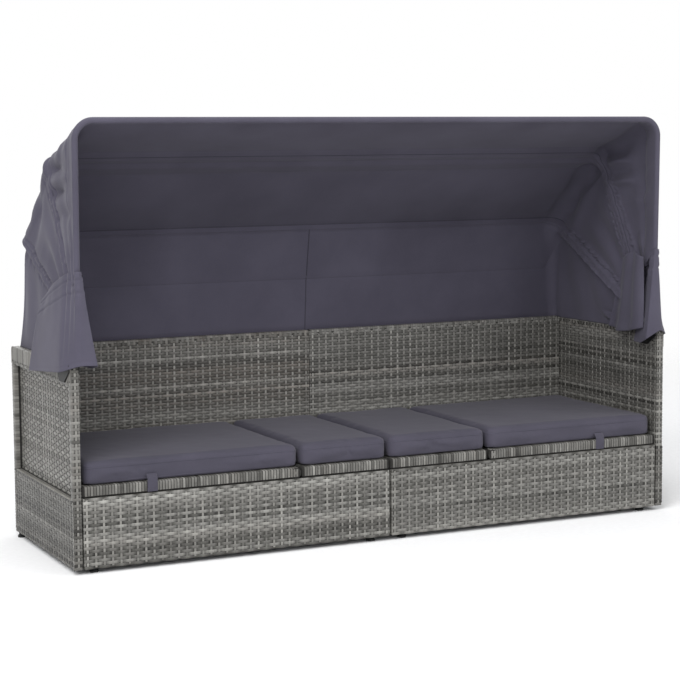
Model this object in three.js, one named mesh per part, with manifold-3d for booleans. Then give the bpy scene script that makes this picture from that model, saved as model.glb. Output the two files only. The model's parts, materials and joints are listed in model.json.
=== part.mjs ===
// Outdoor daybed with a folding canopy, two reclining seat panels and four seat cushions.
// Units are millimetres. X runs along the daybed, Y from its front to its back, and Z is up.
// The origin is on the ground, under the middle of the daybed.

import * as THREE from 'three';
import { mergeVertices } from 'three/addons/utils/BufferGeometryUtils.js';
import Module from 'manifold-3d';

const wasm = await Module();
wasm.setup();

// Clearances
const gap = 0.3;
const overrun = 2;
const slit = 1.5;

// Arm and back panels: a wrapped frame round woven infill
const daybedLength = 1950;
const daybedDepth = 592;
const armHeight = 578;
const panelThickness = 24.5;
const stileWidth = 24;
const topRailHeight = 50;
const ledgeHeight = 208;
const ledgeRailHeight = 24;
const bottomRailHeight = 24;
const infillThickness = 5;
const panelCornerRadius = 12;
const openingCornerRadius = 4;
const panelEdgeRadius = 3;

// Feet
const footHeight = 15;
const footRadius = 13;
const footStemRadius = 9;
const footPadHeight = 6;
const moduleFootInset = 40;
const moduleFootReach = 52;
const armFootInset = 27;

// Seat modules: a welded tube frame behind a woven apron
const seatHeight = 213;
const frameTube = 20;
const frameTubeCorner = 3;
const apronThickness = 22;
const apronCornerRadius = 8;
const apronEdgeRadius = 4;

// Seat panels
const leftSeam = 288;
const rightSeam = 337;
const seatPanelThickness = 31.7;
const seatPanelFrontInset = 5;
const seatPanelBackInset = 6;
const seatPanelRail = 24;
const hingeRail = 34;
const seatPanelCornerRadius = 9;
const seatPanelEdgeRadius = 5;
const deckThickness = 8;
const fixedPanelSkin = 10;

// Recline hinge
const hingeRodRadius = 4;
const hingeRodInset = 12;
const hingeLugThickness = 6;
const hingeLugRadius = 9;
const hingeLugInset = 56;

// Recline stay and comb
const stayReachShare = 0.46;
const stayTubeRadius = 5;
const stayHalfWidth = 140;
const stayPinLength = 23;
const stayPinBend = 12;
const stayFootBend = 22;
const earThickness = 4;
const earRadius = 7.2;
const earBarWidth = 24;
const earBarHeight = 20;
const combOffset = 100;
const combThickness = 6;
const combEnd = 12;
const reclineAngle = 55;
const combFirstAngle = 15;
const combStops = 5;

// Cushions and their straps
const cushionThickness = 63;
const cushionInset = 3;
const cushionArmInset = 6;
const cushionDrawIn = 5;
const strapWidth = 30;
const strapThickness = 2;
const strapTop = 255;
const leftStrapPlace = 744;
const rightStrapPlace = 739;

// Canopy brackets and pivot bolts
const pivotInset = 18;
const pivotRise = 34;
const bracketSheet = 4;
const bracketFrontInset = 4;
const bracketLength = 105;
const cheekHeight = 47;
const cheekFootFront = 45;
const cheekFootBack = 15;
const cheekShoulder = 18;
const lugRadius = 14;
const boltRadius = 4;
const boltHeadRadius = 8;
const boltHeadHeight = 5;
const boltNutRadius = 7;
const boltNutHeight = 6;

// Canopy bows: three tubes bent to a U, one inside the other
const bowInset = 28;
const bowTubeRadius = 6;
const bowWall = 1.2;
const bowSpacing = 12.9;
const rearBowSplay = 12;
const bowEyeRadius = 9;
const bowCorner = 52;
const frontBowLength = 630;
const midBowLength = 593;
const rearBowLength = 625;
const frontBowAngle = 91.1;
const midBowAngle = 60.9;
const rearBowAngle = 27.8;

// Canopy cloth
const clothThickness = 2.4;
const clothEase = 1.2;
const seamGap = 1.5;
const seamTurn = 0.3;
const midCornerEase = 10;
const rearCornerEase = 8;
const hemDrop = 8;
const clothSag = 8;
const gussetFold = 5;
const gussetFolds = 4;
const frontGussetStart = 215;
const midGussetStart = 130;
const rearGussetStart = 118;
const rimRise = 3;
const rimStart = 8;
const rimCorner = 30;
const rimDrop = 26;
const skirtStandOff = 14;
const curtainStandOff = 14.9;
const curtainFold = 5;
const curtainFolds = 13;

// Skirts over the arm fronts
const skirtTopHeight = 836;
const skirtTopBackReach = 110;
const skirtTopFrontReach = 17;
const skirtFlareWidth = 25;
const skirtFrontReach = 74;
const skirtHemHeight = 580;
const skirtCornerDrop = 18;
const skirtBackReach = 319;
const skirtBackDrop = 44;
const skirtCorner = 30;
const skirtFold = 6;
const skirtFolds = 3;

// Smoothness of the round and soft surfaces
const edgeSteps = 2;
const cornerSteps = 1;
const notchSteps = 3;
const bendSteps = 4;
const tubeSides = 8;
const roundSides = 16;
const footSides = 12;

// Places worked out from the sizes
const armOuter = daybedLength / 2;
const armInner = armOuter - panelThickness;
const front = -daybedDepth / 2;
const back = daybedDepth / 2;
const backFace = back - panelThickness;
const moduleOuter = armInner - gap;
const moduleFront = front + apronThickness + gap;
const moduleBack = backFace - gap;
const panelBottom = seatHeight + gap;
const panelTop = panelBottom + seatPanelThickness;
const panelFront = front + seatPanelFrontInset;
const panelBack = backFace - seatPanelBackInset;
const hingeRadius = seatPanelThickness / 2;
const hingeHeight = panelBottom + hingeRadius;
const deckTop = panelTop - gap;
const deckBottom = deckTop - deckThickness;
const pivotY = front + pivotInset;
const pivotZ = armHeight + pivotRise;
const bowLift = bowTubeRadius + clothEase + clothThickness / 2;

const rattan = { color: 0x84827c, roughness: 0.75, metalness: 0 };
const wrappedRattan = { color: 0x8e8c86, roughness: 0.75, metalness: 0 };
const canopyCloth = { color: 0x5a5664, roughness: 0.85, metalness: 0 };
const cushionCloth = { color: 0x565361, roughness: 0.85, metalness: 0 };
const blackSteel = { color: 0x1c1c1e, roughness: 0.5, metalness: 0.6 };
const zincSteel = { color: 0x9a9c9e, roughness: 0.35, metalness: 0.9 };
const blackPlastic = { color: 0x151516, roughness: 0.6, metalness: 0 };

const daybed = new THREE.Group();

/** Adds a named piece to the daybed. */
function addPiece(name, geometry, finish) {
  const piece = new THREE.Mesh(geometry, new THREE.MeshStandardMaterial(finish));
  piece.name = name;
  daybed.add(piece);
}

// Solids and their cuts

/** A closed geometry as a solid that can be joined and cut. */
function solid(geometry) {
  const bare = geometry.clone();
  bare.deleteAttribute('normal');
  bare.deleteAttribute('uv');
  const welded = mergeVertices(bare, 1e-3);
  return new wasm.Manifold(new wasm.Mesh({
    numProp: 3,
    vertProperties: new Float32Array(welded.attributes.position.array),
    triVerts: new Uint32Array(welded.index.array),
  }));
}

/** A solid as a geometry again. */
function geometryOf(body) {
  const mesh = body.getMesh();
  const geometry = new THREE.BufferGeometry();
  geometry.setAttribute('position', new THREE.BufferAttribute(new Float32Array(mesh.vertProperties), 3));
  geometry.setIndex(new THREE.BufferAttribute(new Uint32Array(mesh.triVerts), 1));
  geometry.computeVertexNormals();
  return geometry;
}

/** A box between two corners. */
function block(low, high) {
  const size = new THREE.Vector3(...high).sub(new THREE.Vector3(...low));
  const middle = new THREE.Vector3(...low).addScaledVector(size, 0.5);
  return new THREE.BoxGeometry(size.x, size.y, size.z).translate(middle.x, middle.y, middle.z);
}

/** A round bar along Y. */
function barAlongY(x, z, radius, start, end) {
  const bar = new THREE.CylinderGeometry(radius, radius, end - start, roundSides);
  return bar.translate(0, (start + end) / 2, 0).translate(x, 0, z);
}

/** A round bar along X. */
function barAlongX(y, z, radius, start, end) {
  const bar = new THREE.CylinderGeometry(radius, radius, end - start, roundSides);
  return bar.rotateZ(Math.PI / 2).translate((start + end) / 2, y, z);
}

// Outlines and extrusions

/** Draws a rectangle with round corners as a shape or a hole. */
function roundedRectangle(path, left, bottom, right, top, radius) {
  path.absarc(right - radius, bottom + radius, radius, -Math.PI / 2, 0);
  path.absarc(right - radius, top - radius, radius, 0, Math.PI / 2);
  path.absarc(left + radius, top - radius, radius, Math.PI / 2, Math.PI);
  path.absarc(left + radius, bottom + radius, radius, Math.PI, Math.PI * 3 / 2);
  path.closePath();
  return path;
}

/** Extrudes an outline between two levels, with its edges rounded inside the outline. */
function extrude(shape, low, high, edge) {
  const geometry = new THREE.ExtrudeGeometry(shape, {
    depth: high - low - 2 * edge,
    bevelEnabled: edge > 0,
    bevelThickness: edge,
    bevelSize: edge,
    bevelOffset: -edge,
    bevelSegments: edgeSteps,
    curveSegments: cornerSteps,
    steps: 1,
  });
  return geometry.translate(0, 0, low + edge);
}

const xAxis = new THREE.Vector3(1, 0, 0);
const yAxis = new THREE.Vector3(0, 1, 0);
const zAxis = new THREE.Vector3(0, 0, 1);

/** Extrudes a (Y, Z) outline along X. */
function extrudeAlongX(shape, start, end, edge) {
  const turn = new THREE.Matrix4().makeBasis(yAxis, zAxis, xAxis);
  return extrude(shape, start, end, edge).applyMatrix4(turn);
}

/** Extrudes an (X, Z) outline along Y. */
function extrudeAlongY(shape, start, end, edge) {
  const turn = new THREE.Matrix4().makeBasis(xAxis, zAxis, yAxis.clone().negate());
  return extrude(shape, -end, -start, edge).applyMatrix4(turn);
}

// Bent tubes

/** A route of straight runs and round bends, with one station at each end of a run and a few in each bend. */
class BentRoute extends THREE.Curve {
  constructor(corners, radii) {
    super();
    this.stations = [{ place: corners[0], heading: corners[1].clone().sub(corners[0]).normalize() }];
    for (let i = 1; i < corners.length - 1; i++) {
      this.addBend(corners[i - 1], corners[i], corners[i + 1], radii[i - 1]);
    }
    const last = corners[corners.length - 1];
    const heading = last.clone().sub(corners[corners.length - 2]).normalize();
    this.stations.push({ place: last, heading });
  }

  addBend(before, corner, after, radius) {
    const inward = corner.clone().sub(before).normalize();
    const outward = after.clone().sub(corner).normalize();
    const turn = inward.angleTo(outward);
    const start = corner.clone().addScaledVector(inward, -radius * Math.tan(turn / 2));
    const side = outward.clone().addScaledVector(inward, -outward.dot(inward)).normalize();
    for (let i = 0; i <= bendSteps; i++) {
      const angle = turn * i / bendSteps;
      const place = start.clone()
        .addScaledVector(inward, radius * Math.sin(angle))
        .addScaledVector(side, radius * (1 - Math.cos(angle)));
      const heading = inward.clone().multiplyScalar(Math.cos(angle)).addScaledVector(side, Math.sin(angle));
      this.stations.push({ place, heading });
    }
  }

  between(t, key) {
    const along = t * (this.stations.length - 1);
    const index = Math.min(Math.floor(along), this.stations.length - 2);
    return this.stations[index][key].clone().lerp(this.stations[index + 1][key], along - index);
  }

  getPoint(t) {
    return this.between(t, 'place');
  }

  getTangent(t) {
    return this.between(t, 'heading').normalize();
  }

  getUtoTmapping(u) {
    return u;
  }
}

/** A round bar that follows a route. */
function bentBar(route, radius) {
  const section = new THREE.Shape();
  for (let i = 0; i < tubeSides; i++) {
    const angle = 2 * Math.PI * i / tubeSides;
    const corner = [radius * Math.cos(angle), radius * Math.sin(angle)];
    if (i === 0) section.moveTo(...corner);
    else section.lineTo(...corner);
  }
  section.closePath();
  return new THREE.ExtrudeGeometry(section, {
    steps: route.stations.length - 1,
    extrudePath: route,
    bevelEnabled: false,
  });
}

// Cloth sheets

/** A closed sheet of even thickness over a grid of places. */
function sheet(placeAt, columns, rows, thickness) {
  const grid = [];
  for (let row = 0; row <= rows; row++) {
    for (let column = 0; column <= columns; column++) {
      grid.push(placeAt(column, row));
    }
  }
  const at = (column, row) => grid[row * (columns + 1) + column];
  const count = grid.length;
  const positions = new Float32Array(count * 2 * 3);
  for (let row = 0; row <= rows; row++) {
    for (let column = 0; column <= columns; column++) {
      const across = at(Math.min(column + 1, columns), row).clone().sub(at(Math.max(column - 1, 0), row));
      const along = at(column, Math.min(row + 1, rows)).clone().sub(at(column, Math.max(row - 1, 0)));
      const normal = across.cross(along).normalize();
      const index = row * (columns + 1) + column;
      const place = at(column, row);
      place.clone().addScaledVector(normal, thickness / 2).toArray(positions, index * 3);
      place.clone().addScaledVector(normal, -thickness / 2).toArray(positions, (count + index) * 3);
    }
  }
  const faces = [];
  const quad = (a, b, c, d) => faces.push(a, b, c, a, c, d);
  for (let row = 0; row < rows; row++) {
    for (let column = 0; column < columns; column++) {
      const a = row * (columns + 1) + column;
      const b = a + 1;
      const c = b + columns + 1;
      const d = a + columns + 1;
      quad(a, b, c, d);
      quad(count + a, count + d, count + c, count + b);
    }
  }
  for (let column = 0; column < columns; column++) {
    const near = column;
    const far = rows * (columns + 1) + column;
    quad(near, count + near, count + near + 1, near + 1);
    quad(far, far + 1, count + far + 1, count + far);
  }
  for (let row = 0; row < rows; row++) {
    const near = row * (columns + 1);
    const far = near + columns;
    const step = columns + 1;
    quad(near, near + step, count + near + step, count + near);
    quad(far, count + far, count + far + step, far + step);
  }
  const geometry = new THREE.BufferGeometry();
  geometry.setAttribute('position', new THREE.BufferAttribute(positions, 3));
  geometry.setIndex(faces);
  geometry.computeVertexNormals();
  return geometry;
}

// Arm panels

/** A wrapped frame's outline, with an opening above its ledge and one below. */
function panelOutline(left, right) {
  const outline = roundedRectangle(new THREE.Shape(), left, footHeight, right, armHeight, panelCornerRadius);
  for (const [bottom, top] of openingLevels) {
    outline.holes.push(roundedRectangle(
      new THREE.Path(), left + stileWidth, bottom, right - stileWidth, top, openingCornerRadius,
    ));
  }
  return outline;
}

/** The outline of the woven infill that sits in one opening. */
function infillOutline(left, right, [bottom, top]) {
  return roundedRectangle(
    new THREE.Shape(),
    left + stileWidth + gap,
    bottom + gap,
    right - stileWidth - gap,
    top - gap,
    openingCornerRadius,
  );
}

const upperOpening = [ledgeHeight, armHeight - topRailHeight];
const lowerOpening = [footHeight + bottomRailHeight, ledgeHeight - ledgeRailHeight];
const openingLevels = [upperOpening, lowerOpening];

/** One arm panel: side is -1 for the left arm and 1 for the right one. */
function buildArm(name, side) {
  const between = (a, b) => [Math.min(side * a, side * b), Math.max(side * a, side * b)];
  const whole = between(armInner, armOuter);
  addPiece(`${name}_arm_frame`, extrudeAlongX(panelOutline(front, back), ...whole, panelEdgeRadius), wrappedRattan);
  const thin = between(armInner, armInner + infillThickness);
  addPiece(
    `${name}_arm_upper_weave`,
    extrudeAlongX(infillOutline(front, back, upperOpening), ...thin, 0),
    rattan,
  );
  addPiece(
    `${name}_arm_lower_weave`,
    extrudeAlongX(infillOutline(front, back, lowerOpening), ...whole, 0),
    rattan,
  );
}

// Back panels

/** One back panel, between the arm and the middle of the daybed. */
function buildBack(name, side) {
  const left = side < 0 ? -moduleOuter : gap / 2;
  const right = side < 0 ? -gap / 2 : moduleOuter;
  addPiece(
    `${name}_back_frame`,
    extrudeAlongY(panelOutline(left, right), backFace, back, panelEdgeRadius),
    wrappedRattan,
  );
  addPiece(
    `${name}_back_upper_weave`,
    extrudeAlongY(infillOutline(left, right, upperOpening), backFace, backFace + infillThickness, 0),
    rattan,
  );
  addPiece(
    `${name}_back_lower_weave`,
    extrudeAlongY(infillOutline(left, right, lowerOpening), backFace, back, 0),
    rattan,
  );
}

// Feet

/** A moulded foot: a stem that seats under the frame and a wider pad on the ground. */
function addFoot(name, x, y) {
  const top = footHeight - gap;
  const shoulder = footPadHeight + (footRadius - footStemRadius) / 2;
  const profile = [
    new THREE.Vector2(0, 0),
    new THREE.Vector2(footRadius, 0),
    new THREE.Vector2(footRadius, footPadHeight),
    new THREE.Vector2(footStemRadius, shoulder),
    new THREE.Vector2(footStemRadius, top),
    new THREE.Vector2(0, top),
  ];
  const foot = new THREE.LatheGeometry(profile, footSides).rotateX(Math.PI / 2);
  addPiece(name, foot.translate(x, y, 0), blackPlastic);
}

// Seat modules

/** The parts of one half of the seat that depend on where its seam is. */
function seatHalf(name, side, seam) {
  const hingeX = side * (seam + hingeRadius);
  const reach = moduleOuter - gap - Math.abs(hingeX);
  return { name, side, seam, hingeX, reach, stay: reach * stayReachShare };
}

/** A place along the seat panel, measured outwards from its hinge. */
function outward(half, distance) {
  return half.hingeX + half.side * distance;
}

/** A box whose X side is given by two places in either order. */
function blockAcross(xs, ys, zs) {
  return block([Math.min(...xs), ys[0], zs[0]], [Math.max(...xs), ys[1], zs[1]]);
}

/** The distances from the hinge at which the stay's foot bar rests in the comb. */
function footPlaces(half) {
  const places = [];
  for (let i = 0; i < combStops; i++) {
    const angle = combFirstAngle + (reclineAngle - combFirstAngle) * i / (combStops - 1);
    places.push(2 * half.stay * Math.cos(THREE.MathUtils.degToRad(angle)));
  }
  return places;
}

/** The comb's two ends, measured from the hinge. */
function combSpan(half) {
  const places = footPlaces(half);
  return [places[combStops - 1] - combEnd, 2 * half.stay + stayTubeRadius];
}

/** One level of the seat frame: tubes round its edge, and cross tubes at the given places along X. */
function tubeLadder(left, right, crossings, low) {
  let ladder = solid(block([left, moduleFront, low], [right, moduleBack, low + frameTube]));
  const edges = [left + frameTube / 2, ...crossings, right - frameTube / 2].sort((a, b) => a - b);
  for (let i = 1; i < edges.length; i++) {
    const space = block(
      [edges[i - 1] + frameTube / 2, moduleFront + frameTube, low - overrun],
      [edges[i] - frameTube / 2, moduleBack - frameTube, low + frameTube + overrun],
    );
    ladder = ladder.subtract(solid(space));
  }
  return ladder;
}

/** A welded frame of square tube, with the lugs of the recline hinge on its cross tube. */
function seatFrame(half) {
  const { side, hingeX } = half;
  const left = Math.min(side * gap / 2, side * moduleOuter);
  const right = Math.max(side * gap / 2, side * moduleOuter);
  const [combStart, combStop] = combSpan(half);
  const crossings = [0, combStart + frameTube, combStop - frameTube].map((distance) => outward(half, distance));
  let frame = tubeLadder(left, right, crossings, seatHeight - frameTube);
  frame = frame.add(tubeLadder(left, right, [], footHeight));
  const postInset = frameTubeCorner / 2;
  for (const x of [left, right - frameTube]) {
    for (const y of [moduleFront, moduleBack - frameTube]) {
      const post = block(
        [x + postInset, y + postInset, footHeight + frameTube - overrun],
        [x + frameTube - postInset, y + frameTube - postInset, seatHeight - frameTube + overrun],
      );
      frame = frame.add(solid(post));
    }
  }
  for (const y of hingeLugPlaces()) {
    const lug = new THREE.Shape();
    lug.moveTo(hingeX + hingeLugRadius, seatHeight - overrun);
    lug.absarc(hingeX, hingeHeight, hingeLugRadius, 0, Math.PI);
    lug.lineTo(hingeX - hingeLugRadius, seatHeight - overrun);
    lug.closePath();
    const plate = new THREE.ExtrudeGeometry(lug, {
      depth: hingeLugThickness, bevelEnabled: false, curveSegments: roundSides / 2,
    });
    const turn = new THREE.Matrix4().makeBasis(xAxis, zAxis, yAxis.clone().negate());
    frame = frame.add(solid(plate.applyMatrix4(turn).translate(0, y + hingeLugThickness / 2, 0)));
  }
  const bore = barAlongY(hingeX, hingeHeight, hingeRodRadius + gap, moduleFront, moduleBack);
  return geometryOf(frame.subtract(solid(bore)));
}

/** The middles of the hinge lugs along Y. */
function hingeLugPlaces() {
  return [panelFront + hingeLugInset, panelBack - hingeLugInset];
}

/** The woven apron in front of a seat module. */
function apron(half) {
  const xs = [half.side * slit, half.side * (armInner - slit)];
  const outline = roundedRectangle(
    new THREE.Shape(), Math.min(...xs), footHeight, Math.max(...xs), seatHeight, apronCornerRadius,
  );
  return extrudeAlongY(outline, front, front + apronThickness, apronEdgeRadius);
}

/** The short seat panel beside the middle of the daybed, hollow underneath. */
function fixedPanel(half) {
  const inner = half.side * gap / 2;
  const outer = half.side * (half.seam - gap);
  const left = Math.min(inner, outer);
  const right = Math.max(inner, outer);
  const outline = roundedRectangle(
    new THREE.Shape(), left, panelFront, right, panelBack, seatPanelCornerRadius,
  );
  const slab = extrude(outline, panelBottom, panelTop, seatPanelEdgeRadius);
  const pocket = block(
    [left + seatPanelRail, panelFront + seatPanelRail, panelBottom - overrun],
    [right - seatPanelRail, panelBack - seatPanelRail, panelTop - fixedPanelSkin],
  );
  return geometryOf(solid(slab).subtract(solid(pocket)));
}

// Reclining seat panels

/** The frame of a reclining panel: rails, a round hinge edge, and the ears that hold the stay. */
function recliningFrame(half) {
  const { hingeX, side, reach, stay } = half;
  const hingeSide = hingeX - side * seatPanelEdgeRadius;
  const outerSide = outward(half, reach);
  const outline = roundedRectangle(
    new THREE.Shape(),
    Math.min(hingeSide, outerSide),
    panelFront,
    Math.max(hingeSide, outerSide),
    panelBack,
    seatPanelCornerRadius,
  );
  let frame = solid(extrude(outline, panelBottom, panelTop, seatPanelEdgeRadius));
  frame = frame.add(solid(barAlongY(hingeX, hingeHeight, hingeRadius, panelFront, panelBack)));
  const well = blockAcross(
    [outward(half, hingeRail - hingeRadius), outward(half, reach - seatPanelRail)],
    [panelFront + seatPanelRail, panelBack - seatPanelRail],
    [panelBottom - overrun, panelTop + overrun],
  );
  frame = frame.subtract(solid(well));
  const barEdge = stay - earRadius - stayTubeRadius;
  const bar = blockAcross(
    [outward(half, barEdge - earBarWidth), outward(half, barEdge)],
    [panelFront + seatPanelRail - overrun, panelBack - seatPanelRail + overrun],
    [hingeHeight + earRadius - earBarHeight, hingeHeight + earRadius],
  );
  frame = frame.add(solid(bar));
  for (const y of [-1, 1]) {
    const middle = y * (stayHalfWidth + stayPinLength - earThickness);
    const ys = [middle - earThickness / 2, middle + earThickness / 2];
    const arm = blockAcross(
      [outward(half, barEdge - overrun), outward(half, stay)],
      ys,
      [hingeHeight - earRadius, hingeHeight + earRadius],
    );
    frame = frame.add(solid(arm));
    frame = frame.add(solid(barAlongY(outward(half, stay), hingeHeight, earRadius, ...ys)));
    const hole = barAlongY(outward(half, stay), hingeHeight, stayTubeRadius + gap, ys[0] - overrun, ys[1] + overrun);
    frame = frame.subtract(solid(hole));
  }
  for (const y of hingeLugPlaces()) {
    const reachOfLug = hingeLugThickness / 2 + gap;
    const slot = blockAcross(
      [outward(half, hingeLugRadius + gap), outward(half, -hingeRadius - overrun)],
      [y - reachOfLug, y + reachOfLug],
      [panelBottom - overrun, panelTop + overrun],
    );
    frame = frame.subtract(solid(slot));
  }
  const bore = barAlongY(hingeX, hingeHeight, hingeRodRadius + gap, panelFront - overrun, panelBack + overrun);
  return geometryOf(frame.subtract(solid(bore)));
}

/** The woven deck in the reclining panel's frame. */
function recliningDeck(half) {
  return blockAcross(
    [outward(half, hingeRail - hingeRadius + gap), outward(half, half.reach - seatPanelRail - gap)],
    [panelFront + seatPanelRail + gap, panelBack - seatPanelRail - gap],
    [deckBottom, deckTop],
  );
}

/** The stay: one tube bent to a U, with its two ends turned out into the ears. */
function stayTube(half) {
  const at = (distance, y) => new THREE.Vector3(outward(half, distance), y, hingeHeight);
  const end = stayHalfWidth + stayPinLength;
  const corners = [
    at(half.stay, -end),
    at(half.stay, -stayHalfWidth),
    at(2 * half.stay, -stayHalfWidth),
    at(2 * half.stay, stayHalfWidth),
    at(half.stay, stayHalfWidth),
    at(half.stay, end),
  ];
  return bentBar(new BentRoute(corners, [stayPinBend, stayFootBend, stayFootBend, stayPinBend]), stayTubeRadius);
}

/** A comb whose notches take the stay's foot bar at each held angle. */
function comb(half, y) {
  const top = hingeHeight - stayTubeRadius - gap;
  const notchRadius = stayTubeRadius + gap;
  const [start, stop] = combSpan(half);
  const outline = new THREE.Shape();
  outline.moveTo(start, seatHeight + gap);
  outline.lineTo(stop, seatHeight + gap);
  outline.lineTo(stop, top);
  for (const place of footPlaces(half)) {
    outline.absarc(place, top, notchRadius, 0, Math.PI, true);
  }
  outline.lineTo(start, top);
  outline.closePath();
  const plate = new THREE.ExtrudeGeometry(outline, {
    depth: combThickness, bevelEnabled: false, curveSegments: notchSteps,
  });
  const sideAxis = xAxis.clone().multiplyScalar(half.side);
  const turn = new THREE.Matrix4().makeBasis(sideAxis, zAxis, yAxis.clone().multiplyScalar(-half.side));
  plate.applyMatrix4(turn);
  return plate.translate(half.hingeX, y + half.side * combThickness / 2, 0);
}

// Cushions

/** Raises the size of a number to a power and keeps its sign. */
function signedPower(value, power) {
  const nearZero = 1e-6;
  return Math.abs(value) < nearZero ? 0 : Math.sign(value) * Math.abs(value) ** power;
}

/** A foam cushion: crowned on top, flat underneath, with its sides drawn in between the corners. */
function cushion(left, right) {
  const crownPower = 0.42;
  const basePower = 0.16;
  const planPower = 0.13;
  const slices = 32;
  const stacks = 10;
  const bottom = panelTop + gap;
  const low = panelFront + cushionInset;
  const high = panelBack - cushionInset;
  const geometry = new THREE.SphereGeometry(1, slices, stacks);
  geometry.rotateX(Math.PI / 2);
  const positions = geometry.attributes.position;
  for (let i = 0; i < positions.count; i++) {
    const place = new THREE.Vector3().fromBufferAttribute(positions, i);
    const flat = Math.hypot(place.x, place.y);
    const power = place.z > 0 ? crownPower : basePower;
    const spread = flat < 1e-6 ? 0 : flat ** power;
    const across = flat < 1e-6 ? 0 : spread * signedPower(place.x / flat, planPower);
    const along = flat < 1e-6 ? 0 : spread * signedPower(place.y / flat, planPower);
    const height = signedPower(place.z, power);
    const pullAcross = cushionDrawIn * (1 - along * along) * across ** 7;
    const pullAlong = cushionDrawIn * (1 - across * across) * along ** 7;
    positions.setXYZ(
      i,
      (left + right) / 2 + across * (right - left) / 2 - pullAcross,
      (low + high) / 2 + along * (high - low) / 2 - pullAlong,
      bottom + (1 + height) / 2 * cushionThickness,
    );
  }
  const bare = geometry.clone();
  bare.deleteAttribute('normal');
  bare.deleteAttribute('uv');
  const welded = mergeVertices(bare, 1e-3);
  welded.computeVertexNormals();
  return welded;
}

/** A strap that holds a long cushion to the front edge of its panel. */
function strap(middle) {
  const face = panelFront - gap;
  const lean = cushionInset + cushionDrawIn;
  const shoulder = panelTop - seatPanelEdgeRadius;
  const outline = new THREE.Shape();
  outline.moveTo(face, panelBottom + seatPanelEdgeRadius / 2);
  outline.lineTo(face, shoulder);
  outline.quadraticCurveTo(face, panelTop, face - strapThickness / 2, strapTop);
  outline.lineTo(face - strapThickness * 3 / 2, strapTop);
  outline.quadraticCurveTo(face - strapThickness, panelTop, face - strapThickness, shoulder);
  outline.lineTo(face - strapThickness, panelBottom + seatPanelEdgeRadius / 2);
  outline.closePath();
  const turn = new THREE.Matrix4().makeBasis(yAxis, zAxis, xAxis);
  const band = new THREE.ExtrudeGeometry(outline, { depth: strapWidth, bevelEnabled: false, curveSegments: 4 });
  return band.applyMatrix4(turn).translate(middle - strapWidth / 2, 0, 0);
}

// Canopy bows

const bows = {
  front: { order: 0, length: frontBowLength, angle: frontBowAngle, splay: 0, ease: 0 },
  mid: { order: 1, length: midBowLength, angle: midBowAngle, splay: 0, ease: midCornerEase },
  rear: { order: 2, length: rearBowLength, angle: rearBowAngle, splay: rearBowSplay, ease: rearCornerEase },
};
const pivot = new THREE.Vector3(0, pivotY, pivotZ);
for (const bow of Object.values(bows)) {
  const angle = THREE.MathUtils.degToRad(bow.angle);
  bow.eyeHalf = armOuter - bowInset - bow.order * bowSpacing;
  bow.radial = new THREE.Vector3(0, Math.cos(angle), Math.sin(angle));
  bow.forward = new THREE.Vector3(0, -Math.sin(angle), Math.cos(angle));
  const corners = [[-1, 0], [-1, 1], [1, 1], [1, 0]].map(([side, out]) => new THREE.Vector3(
    side * (bow.eyeHalf + out * bow.splay), 0, 0,
  ).addScaledVector(bow.radial, out * bow.length).add(pivot));
  bow.route = new BentRoute(corners, [bowCorner, bowCorner]);
}

/** A bow: a hollow tube bent to a U, with an eye for the pivot bolt at each end. */
function bowTube(bow) {
  let tube = solid(bentBar(bow.route, bowTubeRadius));
  for (const side of [-1, 1]) {
    const x = side * bow.eyeHalf;
    const eye = barAlongX(pivotY, pivotZ, bowEyeRadius, x - bowTubeRadius, x + bowTubeRadius);
    tube = tube.add(solid(eye));
  }
  tube = tube.subtract(solid(bentBar(bow.route, bowTubeRadius - bowWall)));
  const reach = bowTubeRadius + overrun;
  for (const side of [-1, 1]) {
    const x = side * bow.eyeHalf;
    tube = tube.subtract(solid(barAlongX(pivotY, pivotZ, boltRadius + gap, x - reach, x + reach)));
  }
  return geometryOf(tube);
}

// Canopy brackets

/** A bent steel bracket that straddles the arm's top rail and holds the pivot bolt in its lug. */
function canopyBracket(side) {
  const frontEnd = front + bracketFrontInset;
  const backEnd = frontEnd + bracketLength;
  const top = armHeight + gap + bracketSheet;
  const cheek = new THREE.Shape();
  cheek.moveTo(frontEnd, top);
  cheek.lineTo(frontEnd, top - cheekShoulder);
  cheek.lineTo(frontEnd + cheekFootFront, armHeight - cheekHeight);
  cheek.lineTo(backEnd - cheekFootBack, armHeight - cheekHeight);
  cheek.lineTo(backEnd, top - cheekShoulder);
  cheek.lineTo(backEnd, top);
  cheek.closePath();
  const plate = (start) => {
    const low = side > 0 ? start : -start - bracketSheet;
    return solid(extrudeAlongX(cheek, low, low + bracketSheet, 0));
  };
  const outerStart = armOuter + gap;
  const innerStart = armInner - gap - bracketSheet;
  const bridge = blockAcross(
    [side * innerStart, side * (outerStart + bracketSheet)],
    [frontEnd, backEnd],
    [armHeight + gap, top],
  );
  const lug = new THREE.Shape();
  lug.moveTo(pivotY - lugRadius, armHeight + gap);
  lug.lineTo(pivotY + lugRadius, armHeight + gap);
  lug.absarc(pivotY, pivotZ, lugRadius, 0, Math.PI);
  lug.closePath();
  const lugStart = lugInner();
  const lugLow = side > 0 ? lugStart : -lugStart - bracketSheet;
  const lugPlate = new THREE.ExtrudeGeometry(lug, { depth: bracketSheet, bevelEnabled: false, curveSegments: 8 });
  lugPlate.applyMatrix4(new THREE.Matrix4().makeBasis(yAxis, zAxis, xAxis)).translate(lugLow, 0, 0);
  const bore = barAlongX(pivotY, pivotZ, boltRadius + gap, lugLow - overrun, lugLow + bracketSheet + overrun);
  const saddle = solid(bridge).add(plate(outerStart)).add(plate(innerStart)).add(solid(lugPlate));
  return geometryOf(saddle.subtract(solid(bore)));
}

/** The inner face of the bracket's lug, just outside the front bow's eye. */
function lugInner() {
  return bows.front.eyeHalf + bowTubeRadius + gap;
}

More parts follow.
